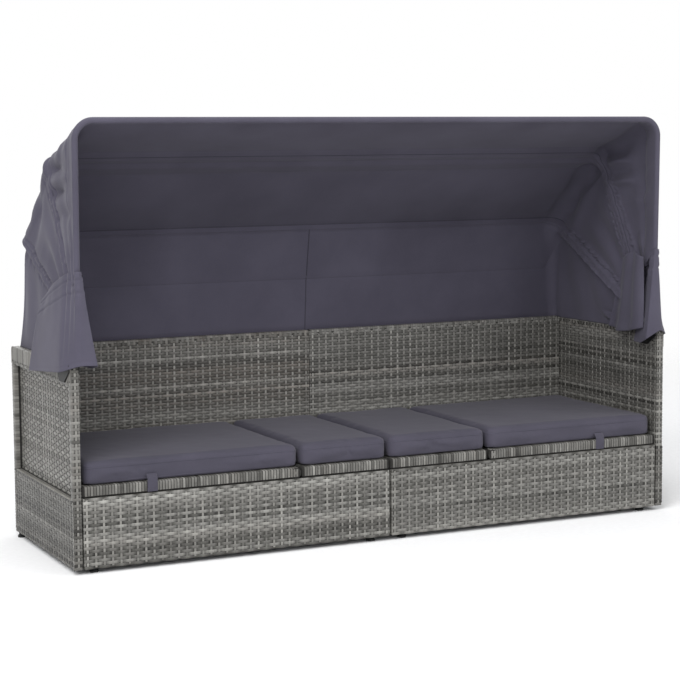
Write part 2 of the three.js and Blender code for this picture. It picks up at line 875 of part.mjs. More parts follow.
/** The pivot bolt, with its round head outside the lug and its nut inside the rear bow. */
function pivotBolt(side) {
  const headInner = lugInner() + bracketSheet + gap;
  const nutOuter = bows.rear.eyeHalf - bowTubeRadius - gap;
  const profile = [
    new THREE.Vector2(0, nutOuter - boltNutHeight),
    new THREE.Vector2(boltNutRadius, nutOuter - boltNutHeight),
    new THREE.Vector2(boltNutRadius, nutOuter),
    new THREE.Vector2(boltRadius, nutOuter),
    new THREE.Vector2(boltRadius, headInner),
    new THREE.Vector2(boltHeadRadius, headInner),
    new THREE.Vector2(boltHeadRadius * 3 / 4, headInner + boltHeadHeight),
    new THREE.Vector2(0, headInner + boltHeadHeight),
  ];
  const bolt = new THREE.LatheGeometry(profile, roundSides).rotateZ(-Math.PI / 2);
  if (side < 0) bolt.rotateZ(Math.PI);
  return bolt.translate(0, pivotY, pivotZ);
}

// Canopy cloth

const canopyColumns = { leg: 8, corner: bendSteps, bar: 6 };
const curtainColumns = { leg: 13, corner: bendSteps, bar: 18 };

/** The number of columns in a cloth that goes round a U. */
function columnCount(columns) {
  return 2 * (columns.leg + columns.corner) + columns.bar;
}

/** Where a column of the cloth lies along a U: which stretch it is on, and how far along it. */
function stretchOf(columns, column) {
  const total = columnCount(columns);
  const mirrored = column > total / 2;
  const index = mirrored ? total - column : column;
  const side = mirrored ? 1 : -1;
  if (index <= columns.leg) return { side, leg: index / columns.leg, bend: 0, bar: 0 };
  const past = index - columns.leg;
  if (past <= columns.corner) return { side, leg: 1, bend: past / columns.corner, bar: 0 };
  return { side, leg: 1, bend: 1, bar: (past - columns.corner) * 2 / columns.bar };
}

/** A place on a bow's axis under a column of the cloth, and the direction that faces out of the U there. */
function bowStation(bow, stretch, legStart) {
  const { side, leg, bend, bar } = stretch;
  const { stations } = bow.route;
  const bendStart = stations[1];
  const bendEnd = stations[1 + bendSteps];
  let place = bendEnd.place.clone();
  let { heading } = bendEnd;
  if (leg < 1) {
    const start = legStart / stations[0].place.distanceTo(bendStart.place);
    place = stations[0].place.clone().lerp(bendStart.place, start + (1 - start) * leg);
    heading = stations[0].heading;
  } else if (bend < 1) {
    const station = stations[1 + Math.round(bend * bendSteps)];
    place = station.place.clone();
    heading = station.heading;
  } else {
    place.setX(place.x * (1 - bar));
  }
  const outwards = bow.forward.clone().cross(heading);
  const mirror = new THREE.Vector3(-side, 1, 1);
  return { place: place.multiply(mirror), outwards: outwards.multiply(mirror) };
}

/** A place on the cloth round a bow: turned by an angle towards the bow's front, and looser at the bends. */
function roundBow(bow, stretch, legStart, turn) {
  const { place, outwards } = bowStation(bow, stretch, legStart);
  const ease = bow.ease * Math.sin(Math.PI * stretch.bend);
  return place
    .addScaledVector(outwards, (bowLift + ease) * Math.cos(turn))
    .addScaledVector(bow.forward, bowLift * Math.sin(turn));
}

/** The turn at which a straight run of cloth leaves or meets a bow. */
function contactTurn(bow, stretch, legStart, run) {
  const { outwards } = bowStation(bow, stretch, legStart);
  return Math.atan(-run.dot(outwards) / run.dot(bow.forward));
}

/** How much of a fold shows on a stretch: all of it on the legs, none of it on the bar. */
function foldShare({ leg, bend }) {
  return leg < 1 ? 1 : 1 - bend;
}

/** A cloth panel between two bows, with folds on its sides and a slight sag on top. */
function clothBetween(nearBow, farBow, starts, hemmed) {
  const spanRows = 6;
  const nearRows = hemmed ? 3 : 1;
  const lastRow = nearRows + spanRows + 1;
  const placeAt = (column, row) => {
    const stretch = stretchOf(canopyColumns, column);
    const { outwards } = bowStation(nearBow, stretch, starts[0]);
    const near = roundBow(nearBow, stretch, starts[0], 0);
    const far = roundBow(farBow, stretch, starts[1], 0);
    const run = far.clone().sub(near);
    const tangent = contactTurn(nearBow, stretch, starts[0], run);
    const leave = hemmed ? tangent : Math.min(tangent, -seamTurn);
    const meet = Math.max(contactTurn(farBow, stretch, starts[1], run), seamTurn);
    if (row < nearRows && !hemmed) return near.addScaledVector(nearBow.forward, -seamGap / 2);
    if (row === lastRow) return far.addScaledVector(farBow.forward, seamGap / 2);
    if (row < nearRows) {
      const turn = leave + (Math.PI / 2 - leave) * Math.min(1, (nearRows - row) / 2);
      const place = roundBow(nearBow, stretch, starts[0], turn);
      return row === 0 ? place.addScaledVector(outwards, -hemDrop) : place;
    }
    const share = (row - nearRows) / spanRows;
    const folded = foldShare(stretch);
    const fold = folded * gussetFold * Math.sin(Math.PI * gussetFolds * stretch.leg);
    const sag = Math.sin(Math.PI * share) * (clothSag * (1 - folded) + fold);
    return roundBow(nearBow, stretch, starts[0], leave)
      .lerp(roundBow(farBow, stretch, starts[1], meet), share)
      .addScaledVector(outwards, -sag);
  };
  return sheet(placeAt, columnCount(canopyColumns), lastRow, clothThickness);
}

/** A place on the line where the curtain ends: over the arms, then down behind the back panels. */
function rimPlace({ side, leg, bend, bar }) {
  const half = armInner;
  const startY = front + bracketFrontInset + bracketLength + rimStart;
  const endY = back + curtainStandOff;
  const straight = endY - rimCorner;
  const angle = bend * Math.PI / 2;
  const x = (half - rimCorner + rimCorner * Math.cos(angle)) - (half - rimCorner) * bar;
  const y = leg < 1 ? startY + (straight - startY) * leg : straight + rimCorner * Math.sin(angle);
  const drop = Math.max(0, 2 * bend - 1);
  return new THREE.Vector3(side * x, y, armHeight + rimRise - rimDrop * drop);
}

/** The curtain that hangs from the rear bow, round the sides and down behind the back. */
function curtainCloth() {
  const rows = 8;
  const wrapRows = 2;
  const wrapTurn = -Math.PI / 3;
  const total = columnCount(curtainColumns);
  const placeAt = (column, row) => {
    const stretch = stretchOf(curtainColumns, column);
    if (row <= wrapRows) {
      const place = roundBow(bows.rear, stretch, rearGussetStart, wrapTurn * row / wrapRows);
      return row === 0 ? place.addScaledVector(bows.rear.forward, -seamGap / 2) : place;
    }
    const share = (row - wrapRows) / (rows - wrapRows);
    const top = roundBow(bows.rear, stretch, rearGussetStart, wrapTurn);
    const { outwards } = bowStation(bows.rear, stretch, rearGussetStart);
    const wave = (1 - Math.cos(2 * Math.PI * curtainFolds * column / total)) / 2;
    const inward = outwards.clone().setZ(0).normalize().negate();
    const swell = Math.sin(Math.PI * share / 2) * (1 - share / 2);
    return top.lerp(rimPlace(stretch), share).addScaledVector(inward, curtainFold * wave * swell);
  };
  return sheet(placeAt, total, rows, clothThickness);
}

/** The skirt that covers the bow legs and the front of an arm. */
function skirtCloth(side) {
  const columns = 20;
  const rows = 8;
  const clear = bowLift + clothThickness + gap;
  const bowY = pivotY + frontBowLength * bows.front.radial.y;
  const frontPlane = front - skirtStandOff;
  const outerPlane = armOuter + skirtFlareWidth;
  const half = bows.front.eyeHalf;
  const at = (x, y, z) => new THREE.Vector3(side * x, y, z);
  const topFront = bowY - clear;
  const topLine = new THREE.CatmullRomCurve3([
    at(half - skirtTopFrontReach, topFront, skirtTopHeight),
    at(half, topFront, skirtTopHeight),
    at(half + clear, topFront + clear, skirtTopHeight),
    at(half + clear, topFront + skirtTopBackReach, skirtTopHeight),
  ], false, 'catmullrom', 0.2);
  const hemLine = new THREE.CatmullRomCurve3([
    at(armOuter - skirtFrontReach, frontPlane, skirtHemHeight),
    at(armOuter - skirtCorner / 2, frontPlane, skirtHemHeight),
    at(outerPlane, frontPlane + skirtCorner, skirtHemHeight - skirtCornerDrop),
    at(outerPlane, front + skirtBackReach, skirtHemHeight - skirtBackDrop),
  ], false, 'catmullrom', 0.2);
  const placeAt = (column, row) => {
    const across = column / columns;
    const down = row / rows;
    const place = topLine.getPoint(across).lerp(hemLine.getPoint(across), down);
    const wave = (1 - Math.cos(2 * Math.PI * skirtFolds * across)) / 2;
    const outwards = at(Math.min(1, across * 2), 0, 0);
    return place.addScaledVector(outwards, -skirtFold * wave * down * (1 - down / 2));
  };
  const order = side < 0 ? placeAt : (column, row) => placeAt(columns - column, row);
  return sheet(order, columns, rows, clothThickness);
}

// The whole daybed

const halves = [seatHalf('left', -1, leftSeam), seatHalf('right', 1, rightSeam)];
const strapPlaces = { left: -leftStrapPlace, right: rightStrapPlace };

for (const half of halves) {
  const { name, side } = half;
  buildArm(name, side);
  buildBack(name, side);
  addPiece(`${name}_seat_frame`, seatFrame(half), blackSteel);
  addPiece(`${name}_apron`, apron(half), rattan);
  addPiece(`${name}_fixed_panel`, fixedPanel(half), wrappedRattan);
  addPiece(`${name}_reclining_frame`, recliningFrame(half), wrappedRattan);
  addPiece(`${name}_reclining_deck`, recliningDeck(half), rattan);
  addPiece(
    `${name}_hinge_rod`,
    barAlongY(half.hingeX, hingeHeight, hingeRodRadius, panelFront + hingeRodInset, panelBack - hingeRodInset),
    zincSteel,
  );
  addPiece(`${name}_stay`, stayTube(half), blackSteel);
  addPiece(`${name}_front_comb`, comb(half, -combOffset), blackSteel);
  addPiece(`${name}_rear_comb`, comb(half, combOffset), blackSteel);

  const seam = side * half.seam;
  const middle = side * gap / 2;
  const armEnd = side * (moduleOuter - cushionArmInset);
  const longEnds = [seam + side * gap / 2, armEnd].sort((a, b) => a - b);
  const shortEnds = [middle, seam - side * gap / 2].sort((a, b) => a - b);
  addPiece(`${name}_long_cushion`, cushion(...longEnds), cushionCloth);
  addPiece(`${name}_short_cushion`, cushion(...shortEnds), cushionCloth);
  addPiece(`${name}_cushion_strap`, strap(strapPlaces[name]), cushionCloth);

  const footRows = { front: moduleFront + frameTube / 2, rear: moduleBack - frameTube / 2 };
  for (const [row, y] of Object.entries(footRows)) {
    addFoot(`${name}_outer_${row}_foot`, side * (moduleOuter - moduleFootInset), y);
    addFoot(`${name}_inner_${row}_foot`, side * moduleFootReach, y);
  }
  addFoot(`${name}_arm_foot`, side * (armInner + panelThickness / 2), back - armFootInset);

  addPiece(`${name}_canopy_bracket`, canopyBracket(side), blackSteel);
  addPiece(`${name}_pivot_bolt`, pivotBolt(side), zincSteel);
  addPiece(`${name}_skirt`, skirtCloth(side), canopyCloth);
}

for (const [name, bow] of Object.entries(bows)) {
  addPiece(`${name}_bow`, bowTube(bow), blackSteel);
}
addPiece('canopy_front_panel', clothBetween(bows.front, bows.mid, [frontGussetStart, midGussetStart], true), canopyCloth);
addPiece('canopy_mid_panel', clothBetween(bows.mid, bows.rear, [midGussetStart, rearGussetStart], false), canopyCloth);
addPiece('canopy_curtain', curtainCloth(), canopyCloth);

export default daybed;
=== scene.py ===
"""The outdoor daybed with canopy: woven panels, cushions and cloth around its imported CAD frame.

All lengths are in metres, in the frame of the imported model: X along the daybed, Y towards its back, Z up.
"""

import json
import logging
import math
import random
from dataclasses import dataclass, replace
from enum import Enum
from typing import Callable, ClassVar, Sequence

import bmesh
import bpy
import numpy as np
from mathutils import Matrix, Vector, noise
from mathutils.bvhtree import BVHTree

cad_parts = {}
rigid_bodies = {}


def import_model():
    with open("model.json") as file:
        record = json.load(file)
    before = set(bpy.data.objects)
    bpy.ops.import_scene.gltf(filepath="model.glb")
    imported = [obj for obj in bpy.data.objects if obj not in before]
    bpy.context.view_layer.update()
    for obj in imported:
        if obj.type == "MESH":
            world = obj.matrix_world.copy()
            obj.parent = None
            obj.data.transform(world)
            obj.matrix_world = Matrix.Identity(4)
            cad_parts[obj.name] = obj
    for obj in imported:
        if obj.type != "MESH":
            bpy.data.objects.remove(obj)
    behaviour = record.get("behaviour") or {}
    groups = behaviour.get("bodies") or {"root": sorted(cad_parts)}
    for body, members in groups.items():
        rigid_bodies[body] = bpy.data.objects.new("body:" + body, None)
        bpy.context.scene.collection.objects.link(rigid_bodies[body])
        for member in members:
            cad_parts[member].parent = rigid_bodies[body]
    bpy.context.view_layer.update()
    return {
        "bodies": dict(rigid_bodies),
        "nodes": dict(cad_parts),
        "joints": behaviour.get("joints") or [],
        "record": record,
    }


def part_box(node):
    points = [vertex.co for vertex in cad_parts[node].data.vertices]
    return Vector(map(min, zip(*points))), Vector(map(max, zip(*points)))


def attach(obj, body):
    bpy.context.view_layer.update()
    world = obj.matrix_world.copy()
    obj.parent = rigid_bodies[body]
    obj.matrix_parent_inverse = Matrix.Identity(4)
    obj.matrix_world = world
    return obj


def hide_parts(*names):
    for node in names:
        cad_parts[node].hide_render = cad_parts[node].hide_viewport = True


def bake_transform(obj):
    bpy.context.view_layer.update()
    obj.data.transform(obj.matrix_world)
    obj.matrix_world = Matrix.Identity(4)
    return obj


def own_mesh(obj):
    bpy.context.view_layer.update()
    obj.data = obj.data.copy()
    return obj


LOG = logging.getLogger("daybed")
SIDES = {"left": -1, "right": 1}


def srgb(code: str) -> tuple[float, float, float, float]:
    """Turns a colour as seen on screen into the linear values that shaders use.

    Args:
        code: Six hex digits.

    Returns:
        Linear red, green and blue, and an alpha of one.
    """
    values = [int(code[i:i + 2], 16) / 255 for i in (0, 2, 4)]
    linear = [v / 12.92 if v <= 0.04045 else ((v + 0.055) / 1.055) ** 2.4 for v in values]
    return (linear[0], linear[1], linear[2], 1.0)


@dataclass(frozen=True)
class DaybedSize:
    """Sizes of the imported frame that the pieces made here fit."""

    arm_outer: float = 0.975
    panel: float = 0.0245
    arm_inner: float = 0.9505
    front: float = -0.296
    back: float = 0.296
    back_face: float = 0.2715
    foot_top: float = 0.015
    top: float = 0.578
    top_rail: float = 0.050
    stile: float = 0.024
    ledge: float = 0.208
    infill: float = 0.005
    corner: float = 0.012
    edge: float = 0.003
    pivot_y: float = -0.278
    pivot_z: float = 0.612
    rim_start: float = 0.117
    rim_corner: float = 0.030
    rim_clear: float = 0.0149
    rim_sink: float = 0.003
    rim_drop: float = 0.020


SIZE = DaybedSize()


# Materials


class Shader:
    """The node tree of a material or a world, with one way to add a node."""

    def __init__(self, owner: bpy.types.Material | bpy.types.World, output: str = "OutputMaterial") -> None:
        """Clears the owner's node tree and adds its output.

        Args:
            owner: The material or the world.
            output: The output node's type, without its ShaderNode prefix.
        """
        self.owner = owner
        owner.use_nodes = True
        self.tree = owner.node_tree
        self.tree.nodes.clear()
        self.output = self.tree.nodes.new("ShaderNode" + output)

    def add(self, kind: str, inputs: dict | None = None, **settings) -> bpy.types.Node:
        """Adds a node.

        Args:
            kind: The node's type, without its ShaderNode prefix.
            inputs: Values or output sockets for the node's inputs, by name or number.
            settings: The node's own properties.

        Returns:
            The new node.
        """
        node = self.tree.nodes.new("ShaderNode" + kind)
        for key, value in settings.items():
            setattr(node, key, value)
        for key, value in (inputs or {}).items():
            if isinstance(value, bpy.types.NodeSocket):
                self.tree.links.new(value, node.inputs[key])
            else:
                node.inputs[key].default_value = value
        return node

    def maths(self, operation: str, *values) -> bpy.types.NodeSocket:
        """Adds a Math node."""
        return self.add("Math", dict(enumerate(values)), operation=operation).outputs[0]

    def noise(
        self, place: bpy.types.NodeSocket, scale: float, detail: float, **inputs: float,
    ) -> bpy.types.NodeSocket:
        """Adds a noise texture and gives its value."""
        settings = {"Vector": place, "Scale": scale, "Detail": detail, **inputs}
        return self.add("TexNoise", settings).outputs["Fac"]

    def bump(self, strength: float, distance: float, height: bpy.types.NodeSocket) -> bpy.types.NodeSocket:
        """Adds a bump and gives its normal."""
        return self.add("Bump", {"Strength": strength, "Distance": distance, "Height": height}).outputs[0]

    def ramp(
        self, factor: bpy.types.NodeSocket, stops: Sequence[tuple[float, str]],
    ) -> bpy.types.NodeSocket:
        """Adds a colour ramp.

        Args:
            factor: The value to look up.
            stops: Positions and hex colours, in order.

        Returns:
            The colour output.
        """
        node = self.add("ValToRGB", {0: factor})
        elements = node.color_ramp.elements
        while len(elements) < len(stops):
            elements.new(0.5)
        for element, (position, code) in zip(elements, stops):
            element.position = position
            element.color = srgb(code)
        return node.outputs[0]

    def scaled(
        self, source: bpy.types.NodeSocket, scale: tuple[float, float, float],
    ) -> bpy.types.NodeSocket:
        """Scales texture coordinates."""
        return self.add("Mapping", {"Vector": source, "Scale": scale}).outputs[0]

    def finish(self, surface: bpy.types.NodeSocket) -> bpy.types.Material | bpy.types.World:
        """Links the surface shader to the output."""
        self.tree.links.new(surface, self.output.inputs["Surface"])
        return self.owner


@dataclass(frozen=True)
class RattanFinish:
    """Flat resin strand: streaks along it, fine ridges, and a tone of its own for each row."""

    name: str
    stops: tuple[tuple[float, str], ...]
    warm: str = "8f7f74"
    roughness: float = 0.42
    streak: float = 0.5
    ridge: float = 0.35

    def build(self) -> bpy.types.Material:
        """Builds the material.

        Returns:
            The material, which reads the mesh's strand attribute and its UV map.
        """
        shader = Shader(bpy.data.materials.new(self.name))
        strand = shader.add("Attribute", attribute_name="strand")
        parts = shader.add("SeparateXYZ", {0: strand.outputs["Vector"]})
        uv = shader.add("UVMap", uv_map="strand").outputs[0]
        long_streak = shader.noise(shader.scaled(uv, (9.0, 2.4, 1.0)), 1.0, 3.0, Roughness=0.6)
        fine_streak = shader.noise(shader.scaled(uv, (30.0, 9.0, 1.0)), 1.0, 2.0)
        streak = shader.maths("SUBTRACT", long_streak, 0.5)
        fine = shader.maths("SUBTRACT", fine_streak, 0.5)
        tone = shader.maths("MULTIPLY_ADD", streak, self.streak, parts.outputs[0])
        tone = shader.maths("MULTIPLY_ADD", fine, 0.22, tone)
        colour = shader.ramp(tone, self.stops)
        mixed = shader.add(
            "Mix", {0: parts.outputs[1], 6: colour, 7: srgb(self.warm)},
            data_type="RGBA", blend_type="OVERLAY",
        )
        ridges = shader.noise(shader.scaled(uv, (14.0, 22.0, 1.0)), 1.0, 1.5)
        bump = shader.bump(self.ridge, 0.0006, ridges)
        rough = shader.maths("MULTIPLY_ADD", fine_streak, 0.24, self.roughness - 0.12)
        surface = shader.add("BsdfPrincipled", {
            "Base Color": mixed.outputs[2], "Roughness": rough, "Normal": bump,
            "Specular IOR Level": 0.42,
        })
        return shader.finish(surface.outputs[0])


@dataclass(frozen=True)
class ClothFinish:
    """Woven polyester: a fine plain weave, soft shade changes and a slight sheen.

    Real threads lie 0.3 to 0.5 mm apart, which is too fine to show, so the weave is drawn coarser: its
    waves are pi / thread metres apart, 2.1 mm on the canopy and 3.5 mm on the cushions.
    """

    name: str
    base: str
    light: str
    thread: float = 1500.0
    roughness: float = 0.82
    weave: float = 0.25
    sheen: float = 0.12
    through: float = 0.0

    def build(self) -> bpy.types.Material:
        """Builds the material.

        Returns:
            The material, in object coordinates.
        """
        shader = Shader(bpy.data.materials.new(self.name))
        place = shader.add("TexCoord").outputs["Object"]
        cloud = shader.noise(place, 5.0, 4.0, Roughness=0.55)
        fine = shader.noise(place, self.thread * 0.4, 2.0)
        mottle = shader.maths("MULTIPLY_ADD", fine, 0.5, cloud)
        colour = shader.ramp(shader.maths("SUBTRACT", mottle, 0.25), ((0.28, self.base), (0.72, self.light)))
        split = shader.add("SeparateXYZ", {0: place})
        waves = [
            shader.maths("SINE", shader.maths("MULTIPLY", split.outputs[axis], self.thread * 2.0))
            for axis in range(3)
        ]
        threads = shader.maths("ADD", shader.maths("ADD", waves[0], waves[1]), waves[2])
        bump = shader.bump(self.weave, 0.0004, shader.maths("MULTIPLY_ADD", threads, 0.12, fine))
        rough = shader.maths("MULTIPLY_ADD", fine, 0.16, self.roughness - 0.08)
        surface = shader.add("BsdfPrincipled", {
            "Base Color": colour, "Roughness": rough, "Normal": bump,
            "Sheen Weight": self.sheen, "Sheen Roughness": 0.5, "Specular IOR Level": 0.25,
        })
        if self.through == 0:
            return shader.finish(surface.outputs[0])
        through = shader.add("BsdfTranslucent", {"Color": colour})
        mixed = shader.add("MixShader", {0: self.through, 1: surface.outputs[0], 2: through.outputs[0]})
        return shader.finish(mixed.outputs[0])


@dataclass(frozen=True)
class SolidFinish:
    """Painted or plated metal, moulded plastic and other hard surfaces with a fine grain."""

    name: str
    base: str
    light: str
    roughness: float
    metallic: float = 0.0
    grain: float = 300.0
    depth: float = 0.0002

    def build(self) -> bpy.types.Material:
        """Builds the material.

        Returns:
            The material, in object coordinates.
        """
        shader = Shader(bpy.data.materials.new(self.name))
        place = shader.add("TexCoord").outputs["Object"]
        grain = shader.noise(place, self.grain, 2.0)
        colour = shader.ramp(shader.noise(place, 18.0, 4.0), ((0.35, self.base), (0.75, self.light)))
        rough = shader.maths("MULTIPLY_ADD", grain, 0.2, self.roughness - 0.1)
        bump = shader.bump(0.3, self.depth, grain)
        surface = shader.add("BsdfPrincipled", {
            "Base Color": colour, "Roughness": rough, "Metallic": self.metallic, "Normal": bump,
        })
        return shader.finish(surface.outputs[0])


@dataclass(frozen=True)
class FloorFinish:
    """A pale studio floor that fades out before its edge."""

    name: str
    base: str
    light: str
    near: float
    far: float

    def build(self) -> bpy.types.Material:
        """Builds the material.

        Returns:
            The material, in object coordinates.
        """
        shader = Shader(bpy.data.materials.new(self.name))
        place = shader.add("TexCoord").outputs["Object"]
        colour = shader.ramp(shader.noise(place, 60.0, 2.0), ((0.3, self.base), (0.7, self.light)))
        surface = shader.add("BsdfDiffuse", {"Color": colour, "Roughness": 0.6})
        reach = shader.add("VectorMath", {0: place}, operation="LENGTH").outputs["Value"]
        fade = shader.add("MapRange", {
            "Value": reach, "From Min": self.near, "From Max": self.far,
        }, interpolation_type="SMOOTHSTEP")
        clear = shader.add("BsdfTransparent")
        mixed = shader.add("MixShader", {0: fade.outputs[0], 1: surface.outputs[0], 2: clear.outputs[0]})
        return shader.finish(mixed.outputs[0])


GREY_STRAND = (
    (0.0, "343330"), (0.25, "565551"), (0.5, "757470"), (0.75, "93928d"), (1.0, "b6b5af"),
)


class Finish(Enum):
    """The daybed's finishes."""

    # Extruded flat polyethylene strand in mixed greys: satin, with dark and light streaks along it.
    RATTAN = RattanFinish("woven_rattan", GREY_STRAND)
    # Painted shade: a dark, dull surface behind the strands that stands for the shade between them.
    CORE = SolidFinish("rattan_shade", "1d1c1a", "262421", 0.85)
    # Woven polyester, thin enough to let a little light through: matte, with a soft sheen.
    CANOPY = ClothFinish("canopy_cloth", "4f4c5a", "5b5867", through=0.12)
    # Woven polyester, heavier: matte, with a coarser grain than the canopy's.
    CUSHION = ClothFinish("cushion_cloth", "464450", "504d5a", thread=900.0, weave=0.4)
    # Sewn edges, which look like fine lines: light on the cushions.
    SEAM = ClothFinish("seam_thread", "45434f", "514f5c", thread=1800.0)
    # Painted shade: the canopy's seams are drawn darker than its cloth, for the shadow line along each seam.
    STITCH = ClothFinish("canopy_seam", "35333e", "413f4b", thread=1800.0)
    # Powder coat on steel: black, half matte, with a fine grain.
    STEEL = SolidFinish("black_steel", "0e0e0f", "161617", 0.55)
    # Zinc plate on steel: pale grey metal, slightly blurred.
    ZINC = SolidFinish("zinc_steel", "8f9193", "aeb0b2", 0.34, 0.9)
    # Moulded polypropylene: black, half matte.
    PLASTIC = SolidFinish("black_plastic", "131314", "1d1d1f", 0.55, depth=0.0004)
    FLOOR = FloorFinish("studio_floor", "f2f2f2", "f6f6f6", 2.2, 5.5)


class Palette:
    """Builds each finish once."""

    def __init__(self) -> None:
        """Starts with no finish built."""
        self.built: dict[Finish, bpy.types.Material] = {}

    def get(self, finish: Finish) -> bpy.types.Material:
        """Gives the material of a finish.

        Args:
            finish: The finish.

        Returns:
            Its material, built at the first call.
        """
        if finish not in self.built:
            self.built[finish] = finish.value.build()
        return self.built[finish]


PALETTE = Palette()


def add_object(name: str, mesh: bpy.types.Mesh, finishes: Sequence[Finish]) -> bpy.types.Object:
    """Links a mesh to the scene as a piece with its finishes.

    Args:
        name: The piece's name.
        mesh: Its mesh, in the daybed's frame.
        finishes: One finish for each material number in the mesh.

    Returns:
        The new object, at the origin.
    """
    mesh.name = name
    piece = bpy.data.objects.new(name, mesh)
    bpy.context.scene.collection.objects.link(piece)
    for finish in finishes:
        mesh.materials.append(PALETTE.get(finish))
    LOG.info("%s: %d faces", name, len(mesh.polygons))
    return piece


def smooth_mesh(name: str, points: Sequence, faces: Sequence) -> bpy.types.Mesh:
    """Makes a mesh with smooth shading.

    Args:
        name: The mesh's name.
        points: Its places.
        faces: The numbers of each face's places.

    Returns:
        The new mesh.
    """
    mesh = bpy.data.meshes.new(name)
    mesh.from_pydata([tuple(point) for point in points], [], faces)
    mesh.polygons.foreach_set("use_smooth", np.ones(len(mesh.polygons), bool))
    mesh.update()
    return mesh


def read_vertices(mesh: bpy.types.Mesh, field: str) -> np.ndarray:
    """Reads a field of three numbers from each vertex."""
    values = np.empty(len(mesh.vertices) * 3, np.float32)
    mesh.vertices.foreach_get(field, values)
    return values.reshape(-1, 3)


def dress(piece: bpy.types.Object, nodes: Sequence[str], body: str) -> None:
    """Hides the CAD nodes that a piece stands for and hangs it on the body that carries it.

    Args:
        piece: The piece.
        nodes: The CAD nodes that it replaces.
        body: The body that carries it.
    """
    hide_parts(*nodes)
    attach(piece, body)


# Woven strand


@dataclass
class Trail:
    """The route of a strand: places, the way its outside faces, and the way its width runs."""

    places: np.ndarray
    normals: np.ndarray
    across: np.ndarray

    @classmethod
    def straight(cls, places: Sequence, normal: Sequence[float], across: Sequence[float]) -> "Trail":
        """Makes the route of a strand that faces one way all along."""
        facing, width = (np.tile(np.array(way, float), (len(places), 1)) for way in (normal, across))
        return cls(np.array(places), facing, width)


@dataclass
class MeshBlock:
    """Part of a mesh: its points, their strand values and UVs, its faces and their material."""

    points: np.ndarray
    strand: np.ndarray
    uv: np.ndarray
    faces: np.ndarray
    slot: int


